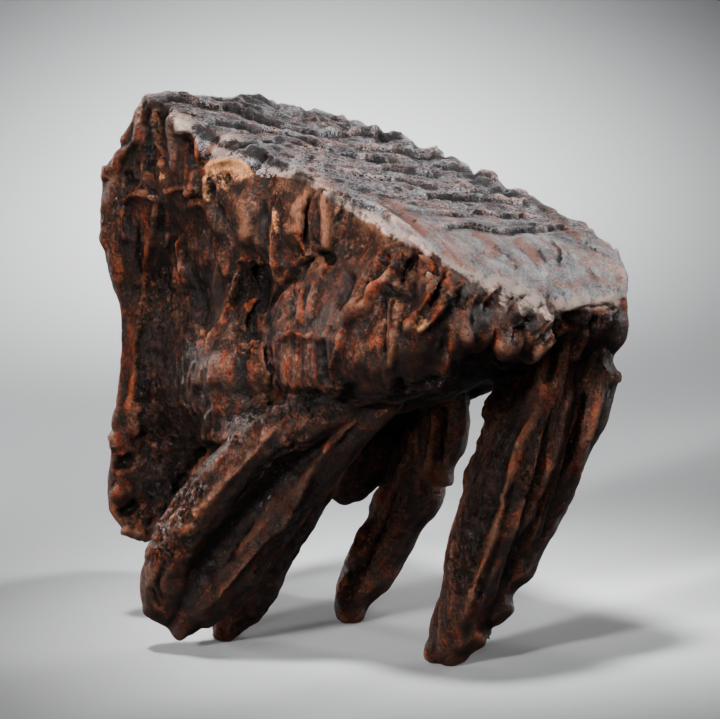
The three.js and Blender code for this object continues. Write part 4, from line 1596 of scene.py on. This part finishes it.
class Graph:
    """A material's nodes, made and linked by short calls."""

    def __init__(self, name: str) -> None:
        """Start a material.

        Args:
            name: The material's name.
        """
        self.material = bpy.data.materials.new(name)
        self.material.use_nodes = True
        self.nodes = self.material.node_tree.nodes
        self.shader = self.nodes["Principled BSDF"]

    def feed(self, socket: Socket, value: Feed) -> None:
        """Give a socket a link or a constant.

        Args:
            socket: The input.
            value: Another node's output, a number or a colour.
        """
        if isinstance(value, Socket):
            self.material.node_tree.links.new(value, socket)
        elif isinstance(value, tuple) and len(value) == 3 and socket.type == "RGBA":
            socket.default_value = (*value, 1.0)
        else:
            socket.default_value = value

    def zone(self, zone: Zone) -> Socket:
        """Read one painted zone.

        Args:
            zone: The zone.

        Returns:
            Its value.
        """
        node = self.nodes.new("ShaderNodeAttribute")
        node.attribute_name = zone.value
        return node.outputs["Fac"]

    def places(self, stretch: Spot3 = (1.0, 1.0, 1.0)) -> Socket:
        """Read places on the object in millimetres.

        Args:
            stretch: Scale of each axis.

        Returns:
            The places.
        """
        source = self.nodes.new("ShaderNodeTexCoord")
        scaled = self.nodes.new("ShaderNodeMapping")
        scaled.inputs["Scale"].default_value = tuple(axis / MM for axis in stretch)
        self.feed(scaled.inputs["Vector"], source.outputs["Object"])
        return scaled.outputs["Vector"]

    def noise(
        self, places: Socket, grain: float, detail: float = 3.0, rough: float = 0.55, twist: float = 0.0
    ) -> Socket:
        """Cloud of noise from 0 to 1.

        Args:
            places: Where it is read.
            grain: Size of its patches in millimetres.
            detail: Octaves.
            rough: Strength of the finer octaves.
            twist: How much it folds over itself.

        Returns:
            The noise.
        """
        node = self.nodes.new("ShaderNodeTexNoise")
        node.inputs["Scale"].default_value = 1.0 / grain
        node.inputs["Detail"].default_value = detail
        node.inputs["Roughness"].default_value = rough
        node.inputs["Distortion"].default_value = twist
        self.feed(node.inputs["Vector"], places)
        return self.band(node.outputs["Fac"], 0.29, 0.71)

    def cells(self, places: Socket, grain: float) -> Socket:
        """Distance to the nearest of many scattered grains.

        Args:
            places: Where it is read.
            grain: Size of a grain in millimetres.

        Returns:
            The distance, as a share of a grain.
        """
        node = self.nodes.new("ShaderNodeTexVoronoi")
        node.inputs["Scale"].default_value = 1.0 / grain
        self.feed(node.inputs["Vector"], places)
        return node.outputs["Distance"]

    def maths(self, operation: str, first: Feed, second: Feed = 0.5, clamp: bool = False) -> Socket:
        """Work out one sum.

        Args:
            operation: Name of the sum.
            first: Its first number.
            second: Its second number.
            clamp: Whether to keep it from 0 to 1.

        Returns:
            The result.
        """
        node = self.nodes.new("ShaderNodeMath")
        node.operation = operation
        node.use_clamp = clamp
        self.feed(node.inputs[0], first)
        self.feed(node.inputs[1], second)
        return node.outputs[0]

    def band(
        self, value: Feed, low: float, high: float, bottom: float = 0.0, top: float = 1.0
    ) -> Socket:
        """Map a value smoothly from one span to another.

        Args:
            value: The value.
            low: Start of its span.
            high: End of its span.
            bottom: What low becomes.
            top: What high becomes.

        Returns:
            The mapped value.
        """
        node = self.nodes.new("ShaderNodeMapRange")
        node.interpolation_type = "SMOOTHSTEP"
        self.feed(node.inputs["Value"], value)
        spans = ("From Min", "From Max", "To Min", "To Max")
        for socket, number in zip(spans, (low, high, bottom, top)):
            node.inputs[socket].default_value = number
        return node.outputs["Result"]

    def blend(self, share: Feed, under: Feed, over: Feed, kind: str = "MIX") -> Socket:
        """Lay one colour over another.

        Args:
            share: How much of the upper one shows.
            under: The lower colour.
            over: The upper colour.
            kind: Blend mode.

        Returns:
            The blended colour.
        """
        node = self.nodes.new("ShaderNodeMix")
        node.data_type = "RGBA"
        node.blend_type = kind
        self.feed(node.inputs[0], share)
        self.feed(node.inputs[6], under)
        self.feed(node.inputs[7], over)
        return node.outputs[2]

    def scaled(self, value: Feed, share: float, middle: float = 0.5) -> Socket:
        """Swing a value about its middle by a share."""
        return self.maths("MULTIPLY", self.maths("SUBTRACT", value, middle), share)

    def grey(self, value: Feed) -> Socket:
        """Turn a number into a grey.

        Args:
            value: How light it is.

        Returns:
            The grey.
        """
        node = self.nodes.new("ShaderNodeCombineColor")
        for socket in node.inputs:
            self.feed(socket, value)
        return node.outputs[0]

    def ramp(self, value: Feed, stops: Sequence[tuple[float, Colour]]) -> Socket:
        """Run a value through a ramp of colours.

        Args:
            value: From 0 to 1.
            stops: Places along the ramp and their colours.

        Returns:
            The colour.
        """
        node = self.nodes.new("ShaderNodeValToRGB")
        marks = node.color_ramp.elements
        while len(marks) < len(stops):
            marks.new(0.5)
        for mark, (place, colour) in zip(marks, stops):
            mark.position = place
            mark.color = (*colour, 1.0)
        self.feed(node.inputs["Fac"], value)
        return node.outputs["Color"]

    def bump(self, height: Feed, distance: float, under: Feed | None = None) -> Socket:
        """Turn a height into a bent normal.

        Args:
            height: From 0 to 1.
            distance: Millimetres for a height of 1.
            under: A normal already bent.

        Returns:
            The normal.
        """
        node = self.nodes.new("ShaderNodeBump")
        node.inputs["Distance"].default_value = distance * MM
        self.feed(node.inputs["Height"], height)
        if under is not None:
            self.feed(node.inputs["Normal"], under)
        return node.outputs["Normal"]


@dataclass(frozen=True)
class Patterns:
    """Patterns that several parts of the finish read."""

    clouds: Socket
    specks: Socket
    grit: Socket
    streaks: Socket
    pebbles: Socket


@dataclass(frozen=True)
class FossilFinish:
    """Mineralised enamel, dentine and cement, blackened in the hollows and polished on the crests, with
    painted shade in the hollows and under the tooth.
    """

    name: str = "fossil_mineral"
    # Wall colours from dark to light along the tone; the dark end, in the hollows, is partly painted
    # shade.
    wall: tuple[tuple[float, Colour], ...] = (
        (0.0, (0.0075, 0.0058, 0.0052)),
        (0.28, (0.0240, 0.0155, 0.0122)),
        (0.42, (0.058, 0.0240, 0.0150)),
        (0.55, (0.125, 0.0490, 0.0280)),
        (0.70, (0.230, 0.0980, 0.0580)),
        (0.85, (0.330, 0.1600, 0.0950)),
        (1.0, (0.46, 0.270, 0.180)),
    )
    rust: Colour = (0.300, 0.052, 0.010)
    brown: Colour = (0.225, 0.102, 0.060)
    ochre: Colour = (0.76, 0.370, 0.180)
    pale: Colour = (0.66, 0.480, 0.410)
    # Colour of the painted sheen.
    painted_sheen: Colour = (0.090, 0.055, 0.054)
    # Colour of the black crust, also used for painted shade.
    black_and_shade: Colour = (0.0150, 0.0125, 0.0118)
    fleck: Colour = (0.26, 0.17, 0.11)
    # Colour of the painted glints.
    painted_glint: Colour = (0.25, 0.19, 0.13)
    flush: Colour = (0.34, 0.130, 0.085)
    ash_cast: Colour = (0.70, 0.92, 1.10)
    ember_cast: Colour = (1.65, 0.78, 0.50)
    worn_cast: Colour = (1.18, 0.80, 0.70)
    reflection: float = 0.2
    coat_roughness: float = 0.12
    # Face colours from dark to light along its tone; the darkening in its hollows is painted shade.
    face: tuple[tuple[float, Colour], ...] = (
        (0.0, (0.006, 0.006, 0.007)),
        (0.25, (0.022, 0.022, 0.024)),
        (0.42, (0.100, 0.098, 0.106)),
        (0.60, (0.270, 0.258, 0.270)),
        (0.78, (0.440, 0.420, 0.425)),
        (1.0, (0.72, 0.700, 0.700)),
    )

    def make(self) -> bpy.types.Material:
        """Build the material.

        Returns:
            The material.
        """
        graph = Graph(self.name)
        places = graph.places()
        clouds = graph.noise(places, 9.0, 5.0, 0.62, 0.8)
        specks = graph.noise(places, 1.3, 4.0, 0.75)
        grit = graph.noise(places, 0.55, 3.0, 0.75)
        pebbles = graph.cells(places, 1.5)
        streaks = graph.zone(Zone.STREAK)
        fine = graph.noise(graph.places((1.0, 1.0, 0.14)), 0.9, 3.0, 0.6, 0.3)
        streaks = graph.maths("ADD", graph.scaled(streaks, 0.75), graph.scaled(fine, 0.25))
        patterns = Patterns(clouds, specks, grit, streaks, pebbles)
        colour = self.wall_colour(graph, self.tone(graph, patterns), patterns)
        colour = self.face_colour(graph, colour, patterns)
        # Black crust and painted shade laid over the colour.
        black_and_shade = self.broken(graph, Zone.BLACK_AND_SHADE, specks, 0.50)
        strength = graph.band(graph.zone(Zone.WORN), 0.3, 0.8, 0.80, 0.95)
        colour = graph.blend(graph.maths("MULTIPLY", black_and_shade, strength), colour, self.black_and_shade)
        graph.feed(graph.shader.inputs["Base Color"], colour)
        self.surface(graph, patterns)
        return graph.material

    def broken(self, graph: Graph, zone: Zone, noise: Socket, share: float) -> Socket:
        """Read a zone with its edge broken up by noise.

        Args:
            graph: The material's nodes.
            zone: The zone.
            noise: Noise from 0 to 1.
            share: How strongly the noise eats into the zone.

        Returns:
            The zone from 0 to 1.
        """
        drift = graph.scaled(noise, 2.0 * share)
        return graph.band(graph.maths("ADD", graph.zone(zone), drift), 0.15, 0.95)

    def tone(self, graph: Graph, patterns: Patterns) -> Socket:
        """Work out how light the wall is, from hollow to crest, with painted shade in the hollows.

        Args:
            graph: The material's nodes.
            patterns: Its patterns.

        Returns:
            The tone, from 0 to 1.
        """
        # Hollows darker and crests lighter by the crest zone: painted shade in the hollows, wear on the
        # crests.
        tone = graph.maths("ADD", graph.scaled(graph.zone(Zone.CREST), 0.92), 0.55)
        for noise, share in (
            (patterns.clouds, 0.28),
            (patterns.streaks, 0.34),
            (patterns.specks, 0.36),
            (patterns.grit, 0.22),
        ):
            tone = graph.maths("ADD", tone, graph.scaled(noise, share))
        gritty = graph.zone(Zone.GRIT)
        crust = graph.maths("MULTIPLY", gritty, graph.scaled(patterns.pebbles, 0.5, 0.45))
        return graph.maths("SUBTRACT", tone, crust)

    def wall_colour(self, graph: Graph, tone: Socket, patterns: Patterns) -> Socket:
        """Colour the walls and roots.

        Args:
            graph: The material's nodes.
            tone: How light the wall is.
            patterns: The patterns.

        Returns:
            The colour.
        """
        colour = graph.ramp(tone, self.wall)
        places = graph.places()
        ash = graph.band(graph.noise(places, 6.0, 4.0, 0.6, 1.0), 0.52, 0.85, 0.0, 0.5)
        colour = graph.blend(ash, colour, graph.blend(1.0, colour, self.ash_cast, "MULTIPLY"))
        ember = graph.noise(graph.places((1.0, 1.0, 0.4)), 4.5, 4.0, 0.6, 1.0)
        ember = graph.band(ember, 0.53, 0.80, 0.0, 0.75)
        colour = graph.blend(ember, colour, graph.blend(1.0, colour, self.ember_cast, "MULTIPLY"))
        # The tints take the tone's painted shade in the hollows. The sheen tint and the highlights in
        # the pale tint are painted light.
        light = graph.band(tone, 0.10, 0.80, 0.22, 1.7)
        for zone, shade, share in (
            (Zone.BROWN, self.brown, 0.35),
            (Zone.RUST, self.rust, 0.38),
            (Zone.PAINTED_SHEEN, self.painted_sheen, 0.35),
            (Zone.OCHRE, self.ochre, 0.38),
            (Zone.PALE_AND_HIGHLIGHT, self.pale, 0.26),
        ):
            shaded = graph.blend(1.0, shade, graph.grey(light), "MULTIPLY")
            noise = patterns.specks if zone is Zone.OCHRE else patterns.streaks
            spread = self.broken(graph, zone, noise, share)
            colour = graph.blend(graph.maths("MULTIPLY", spread, 0.85), colour, shaded)
        grain = graph.band(graph.cells(graph.places((1.0, 1.0, 0.8)), 3.4), 0.13, 0.07)
        grain = graph.maths("MULTIPLY", grain, graph.band(graph.noise(places, 5.0), 0.55, 0.8))
        colour = graph.blend(grain, colour, self.fleck)
        # Painted glints: pale points scattered over the grit, standing in for sparkles of light.
        painted_glint = graph.band(graph.cells(places, 1.6), 0.22, 0.12)
        painted_glint = graph.maths("MULTIPLY", painted_glint, graph.band(graph.zone(Zone.GRIT), 0.15, 0.7))
        painted_glint = graph.maths("MULTIPLY", painted_glint, graph.band(graph.noise(places, 2.6), 0.42, 0.62))
        return graph.blend(painted_glint, colour, self.painted_glint)

    def face_colour(self, graph: Graph, under: Socket, patterns: Patterns) -> Socket:
        """Colour the chewing face over the walls.

        Args:
            graph: The material's nodes.
            under: Colour of the walls.
            patterns: The patterns.

        Returns:
            The colour.
        """
        specks = patterns.specks
        # Hollows of the face darker by the crest zone: painted shade.
        tone = graph.maths("ADD", graph.scaled(graph.zone(Zone.CREST), 1.0), 0.69)
        rough = graph.band(graph.zone(Zone.ROUGH), 0.0, 1.0, 0.35, 1.0)
        cloudy = graph.maths("ADD", graph.scaled(specks, 0.75), graph.scaled(patterns.grit, 0.75))
        tone = graph.maths("ADD", tone, graph.maths("MULTIPLY", cloudy, rough))
        tone = graph.maths("ADD", tone, graph.scaled(patterns.clouds, 0.28))
        tone = graph.maths("SUBTRACT", tone, graph.scaled(graph.zone(Zone.ROUGH), 0.14, 0.0))
        colour = graph.ramp(tone, self.face)
        warm = graph.blend(1.0, colour, self.worn_cast, "MULTIPLY")
        patches = graph.noise(graph.places((0.5, 0.9, 1.0)), 8.0, 4.0, 0.6, 1.5)
        colour = graph.blend(graph.band(patches, 0.45, 0.75, 0.0, 0.9), colour, warm)
        rim = self.broken(graph, Zone.PALE_AND_HIGHLIGHT, specks, 0.4)
        colour = graph.blend(graph.maths("MULTIPLY", rim, 0.8), colour, self.pale)
        rust = self.broken(graph, Zone.RUST, specks, 0.4)
        colour = graph.blend(graph.maths("MULTIPLY", rust, 0.75), colour, self.flush)
        worn = graph.maths("ADD", graph.zone(Zone.WORN), graph.scaled(specks, 0.6))
        worn = graph.band(worn, 0.3, 0.7)
        return graph.blend(worn, under, colour)

    def surface(self, graph: Graph, patterns: Patterns) -> None:
        """Set the gloss and the finest relief.

        Args:
            graph: The material's nodes.
            patterns: The patterns.
        """
        rough = graph.band(graph.zone(Zone.CREST), 0.35, 0.75, 0.58, 0.34)
        rough = graph.maths("ADD", rough, graph.scaled(patterns.clouds, 0.30))
        rough = graph.maths("SUBTRACT", rough, graph.scaled(graph.zone(Zone.GRIT), 0.2, 0.0))
        under = graph.zone(Zone.UNDER)
        rough = graph.maths("ADD", rough, graph.scaled(under, 0.3, 0.0))
        graph.feed(graph.shader.inputs["Roughness"], rough)
        graph.shader.inputs["Specular IOR Level"].default_value = self.reflection
        coat = graph.band(graph.zone(Zone.WORN), 0.2, 0.8, 0.55, 0.62)
        coat = graph.maths("MULTIPLY", coat, graph.band(under, 0.0, 1.0, 1.0, 0.08))
        graph.feed(graph.shader.inputs["Coat Weight"], coat)
        graph.shader.inputs["Coat Roughness"].default_value = self.coat_roughness
        crust = graph.maths("MULTIPLY", patterns.pebbles, graph.zone(Zone.GRIT))
        normal = graph.bump(patterns.streaks, 0.5)
        normal = graph.bump(crust, -2.4, normal)
        normal = graph.bump(patterns.specks, 1.0, normal)
        normal = graph.bump(patterns.grit, 0.35, normal)
        graph.feed(graph.shader.inputs["Normal"], normal)
        graph.feed(graph.shader.inputs["Coat Normal"], normal)


@dataclass(frozen=True)
class Lamp:
    """A spotlight whose beam fades out from its middle.

    Places are in metres, the angle is the beam's full width in degrees, power is in watts, and size is
    the radius of the lens in metres.
    """

    name: str
    place: Spot3
    target: Spot3
    angle: float
    power: float
    size: float

    def hang(self) -> None:
        """Hang the lamp and turn it to its target."""
        data = bpy.data.lights.new(self.name, "SPOT")
        data.energy = self.power
        data.spot_size = math.radians(self.angle)
        data.spot_blend = 1.0
        data.shadow_soft_size = self.size
        lamp = bpy.data.objects.new(self.name, data)
        bpy.context.scene.collection.objects.link(lamp)
        lamp.location = self.place
        way = Vector(self.target) - Vector(self.place)
        lamp.rotation_euler = way.to_track_quat("-Z", "Y").to_euler()


LAMPS = (
    Lamp("key", (-0.14, -0.26, 1.06), (0.015, 0.0, 0.17), 17.0, 108.0, 0.12),
    Lamp("left", (-0.85, -1.15, 0.55), (0.0, 0.0, 0.115), 13.0, 200.0, 0.13),
    Lamp("right", (0.95, -1.05, 0.45), (0.0, 0.0, 0.11), 12.0, 32.0, 0.22),
    Lamp("front", (-0.2, -1.75, 0.52), (0.0, 0.0, 0.11), 10.0, 140.0, 0.25),
    Lamp("floor_pool", (0.888, -0.2, 1.9), (-0.212, 0.473, 0.0), 25.2, 175.0, 0.1),
    Lamp("wall_pool", (-1.496, -0.3, 1.5), (-0.09, 0.691, 0.15), 8.6, 570.0, 0.1),
    Lamp("back_left", (-0.55, 0.62, 0.30), (0.0, 0.0, 0.10), 22.0, 24.0, 0.15),
    Lamp("back_right", (0.60, 0.55, 0.30), (0.0, 0.0, 0.10), 22.0, 24.0, 0.15),
)


@dataclass
class Studio:
    """The pale floor that sweeps up behind the tooth, the lights and the camera."""

    width: float = 5.0
    front: float = -1.4
    wall: float = 0.95
    height: float = 1.6
    curve: float = 0.45
    bend_steps: int = 24
    air: float = 0.09
    look: str = "AgX - Medium High Contrast"
    paper: Colour = (0.62, 0.63, 0.64)
    paper_roughness: float = 0.9
    close: float = 1e-4
    sensor: float = 36.0
    sight: float = 50.0

    def build(self) -> None:
        """Make the floor, the lights and the camera."""
        self.sweep()
        for lamp in LAMPS:
            lamp.hang()
        self.camera()
        world = bpy.data.worlds.new("studio_air")
        bpy.context.scene.world = world
        bpy.context.scene.view_settings.look = self.look
        world.use_nodes = True
        world.node_tree.nodes["Background"].inputs["Color"].default_value = (1.0, 1.0, 1.0, 1.0)
        world.node_tree.nodes["Background"].inputs["Strength"].default_value = self.air

    def sweep(self) -> None:
        """Bend a plane up into a seamless sweep."""
        bpy.ops.object.select_all(action="DESELECT")
        bpy.ops.mesh.primitive_plane_add(size=1.0, location=(0.0, 0.0, 0.0))
        floor = bpy.context.active_object
        floor.name = "studio_sweep"
        bpy.ops.object.mode_set(mode="EDIT")
        bpy.ops.mesh.select_all(action="SELECT")
        bpy.ops.transform.resize(value=(self.width, self.wall - self.front, 1.0))
        bpy.ops.transform.translate(value=(0.0, (self.wall + self.front) / 2, 0.0))
        bpy.ops.object.mode_set(mode="OBJECT")
        for edge in floor.data.edges:
            ends = [floor.data.vertices[i].co.y for i in edge.vertices]
            edge.select = min(ends) > self.wall - self.close
        for vertex in floor.data.vertices:
            vertex.select = vertex.co.y > self.wall - self.close
        for polygon in floor.data.polygons:
            polygon.select = False
        bpy.ops.object.mode_set(mode="EDIT")
        bpy.ops.mesh.select_mode(type="EDGE")
        bpy.ops.mesh.extrude_region_move(TRANSFORM_OT_translate={"value": (0.0, 0.0, self.height)})
        bpy.ops.object.mode_set(mode="OBJECT")
        bpy.ops.object.modifier_add(type="BEVEL")
        bend = floor.modifiers[-1]
        bend.width = self.curve
        bend.segments = self.bend_steps
        bend.limit_method = "ANGLE"
        bpy.ops.object.modifier_apply(modifier=bend.name)
        bpy.ops.object.shade_smooth()
        paint = bpy.data.materials.new("studio_paper")
        paint.use_nodes = True
        shader = paint.node_tree.nodes["Principled BSDF"]
        shader.inputs["Base Color"].default_value = (*self.paper, 1.0)
        shader.inputs["Roughness"].default_value = self.paper_roughness
        nodes, links = paint.node_tree.nodes, paint.node_tree.links
        sides = nodes.new("ShaderNodeNewGeometry")
        clear = nodes.new("ShaderNodeBsdfTransparent")
        choice = nodes.new("ShaderNodeMixShader")
        links.new(sides.outputs["Backfacing"], choice.inputs[0])
        links.new(shader.outputs["BSDF"], choice.inputs[1])
        links.new(clear.outputs["BSDF"], choice.inputs[2])
        links.new(choice.outputs["Shader"], nodes["Material Output"].inputs["Surface"])
        floor.data.materials.append(paint)

    def camera(self) -> None:
        """Stand the camera in front of the tooth's near side."""
        sheet = Sheet()
        data = bpy.data.cameras.new("studio_camera")
        data.sensor_width = self.sensor
        data.lens = data.sensor_width * sheet.distance / (sheet.unit * sheet.width)
        data.clip_end = self.sight
        camera = bpy.data.objects.new("studio_camera", data)
        bpy.context.scene.collection.objects.link(camera)
        camera.location = (np.array(sheet.target) - sheet.distance * sheet.forward()) * MM
        camera.rotation_euler = (math.radians(90.0 - sheet.tilt_deg), 0.0, 0.0)
        bpy.context.scene.camera = camera


def main() -> None:
    """Build the studio and the tooth, and hand the tooth to its body."""
    logging.basicConfig(level=logging.INFO, format="%(name)s: %(message)s")
    Studio().build()
    tooth = Tooth().build()
    tooth.data.materials.append(FossilFinish().make())
    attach(tooth, "root")
    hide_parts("tooth")
    LOG.info("%s has %d triangles", tooth.name, len(tooth.data.polygons))


if __name__ == "__main__":
    main()
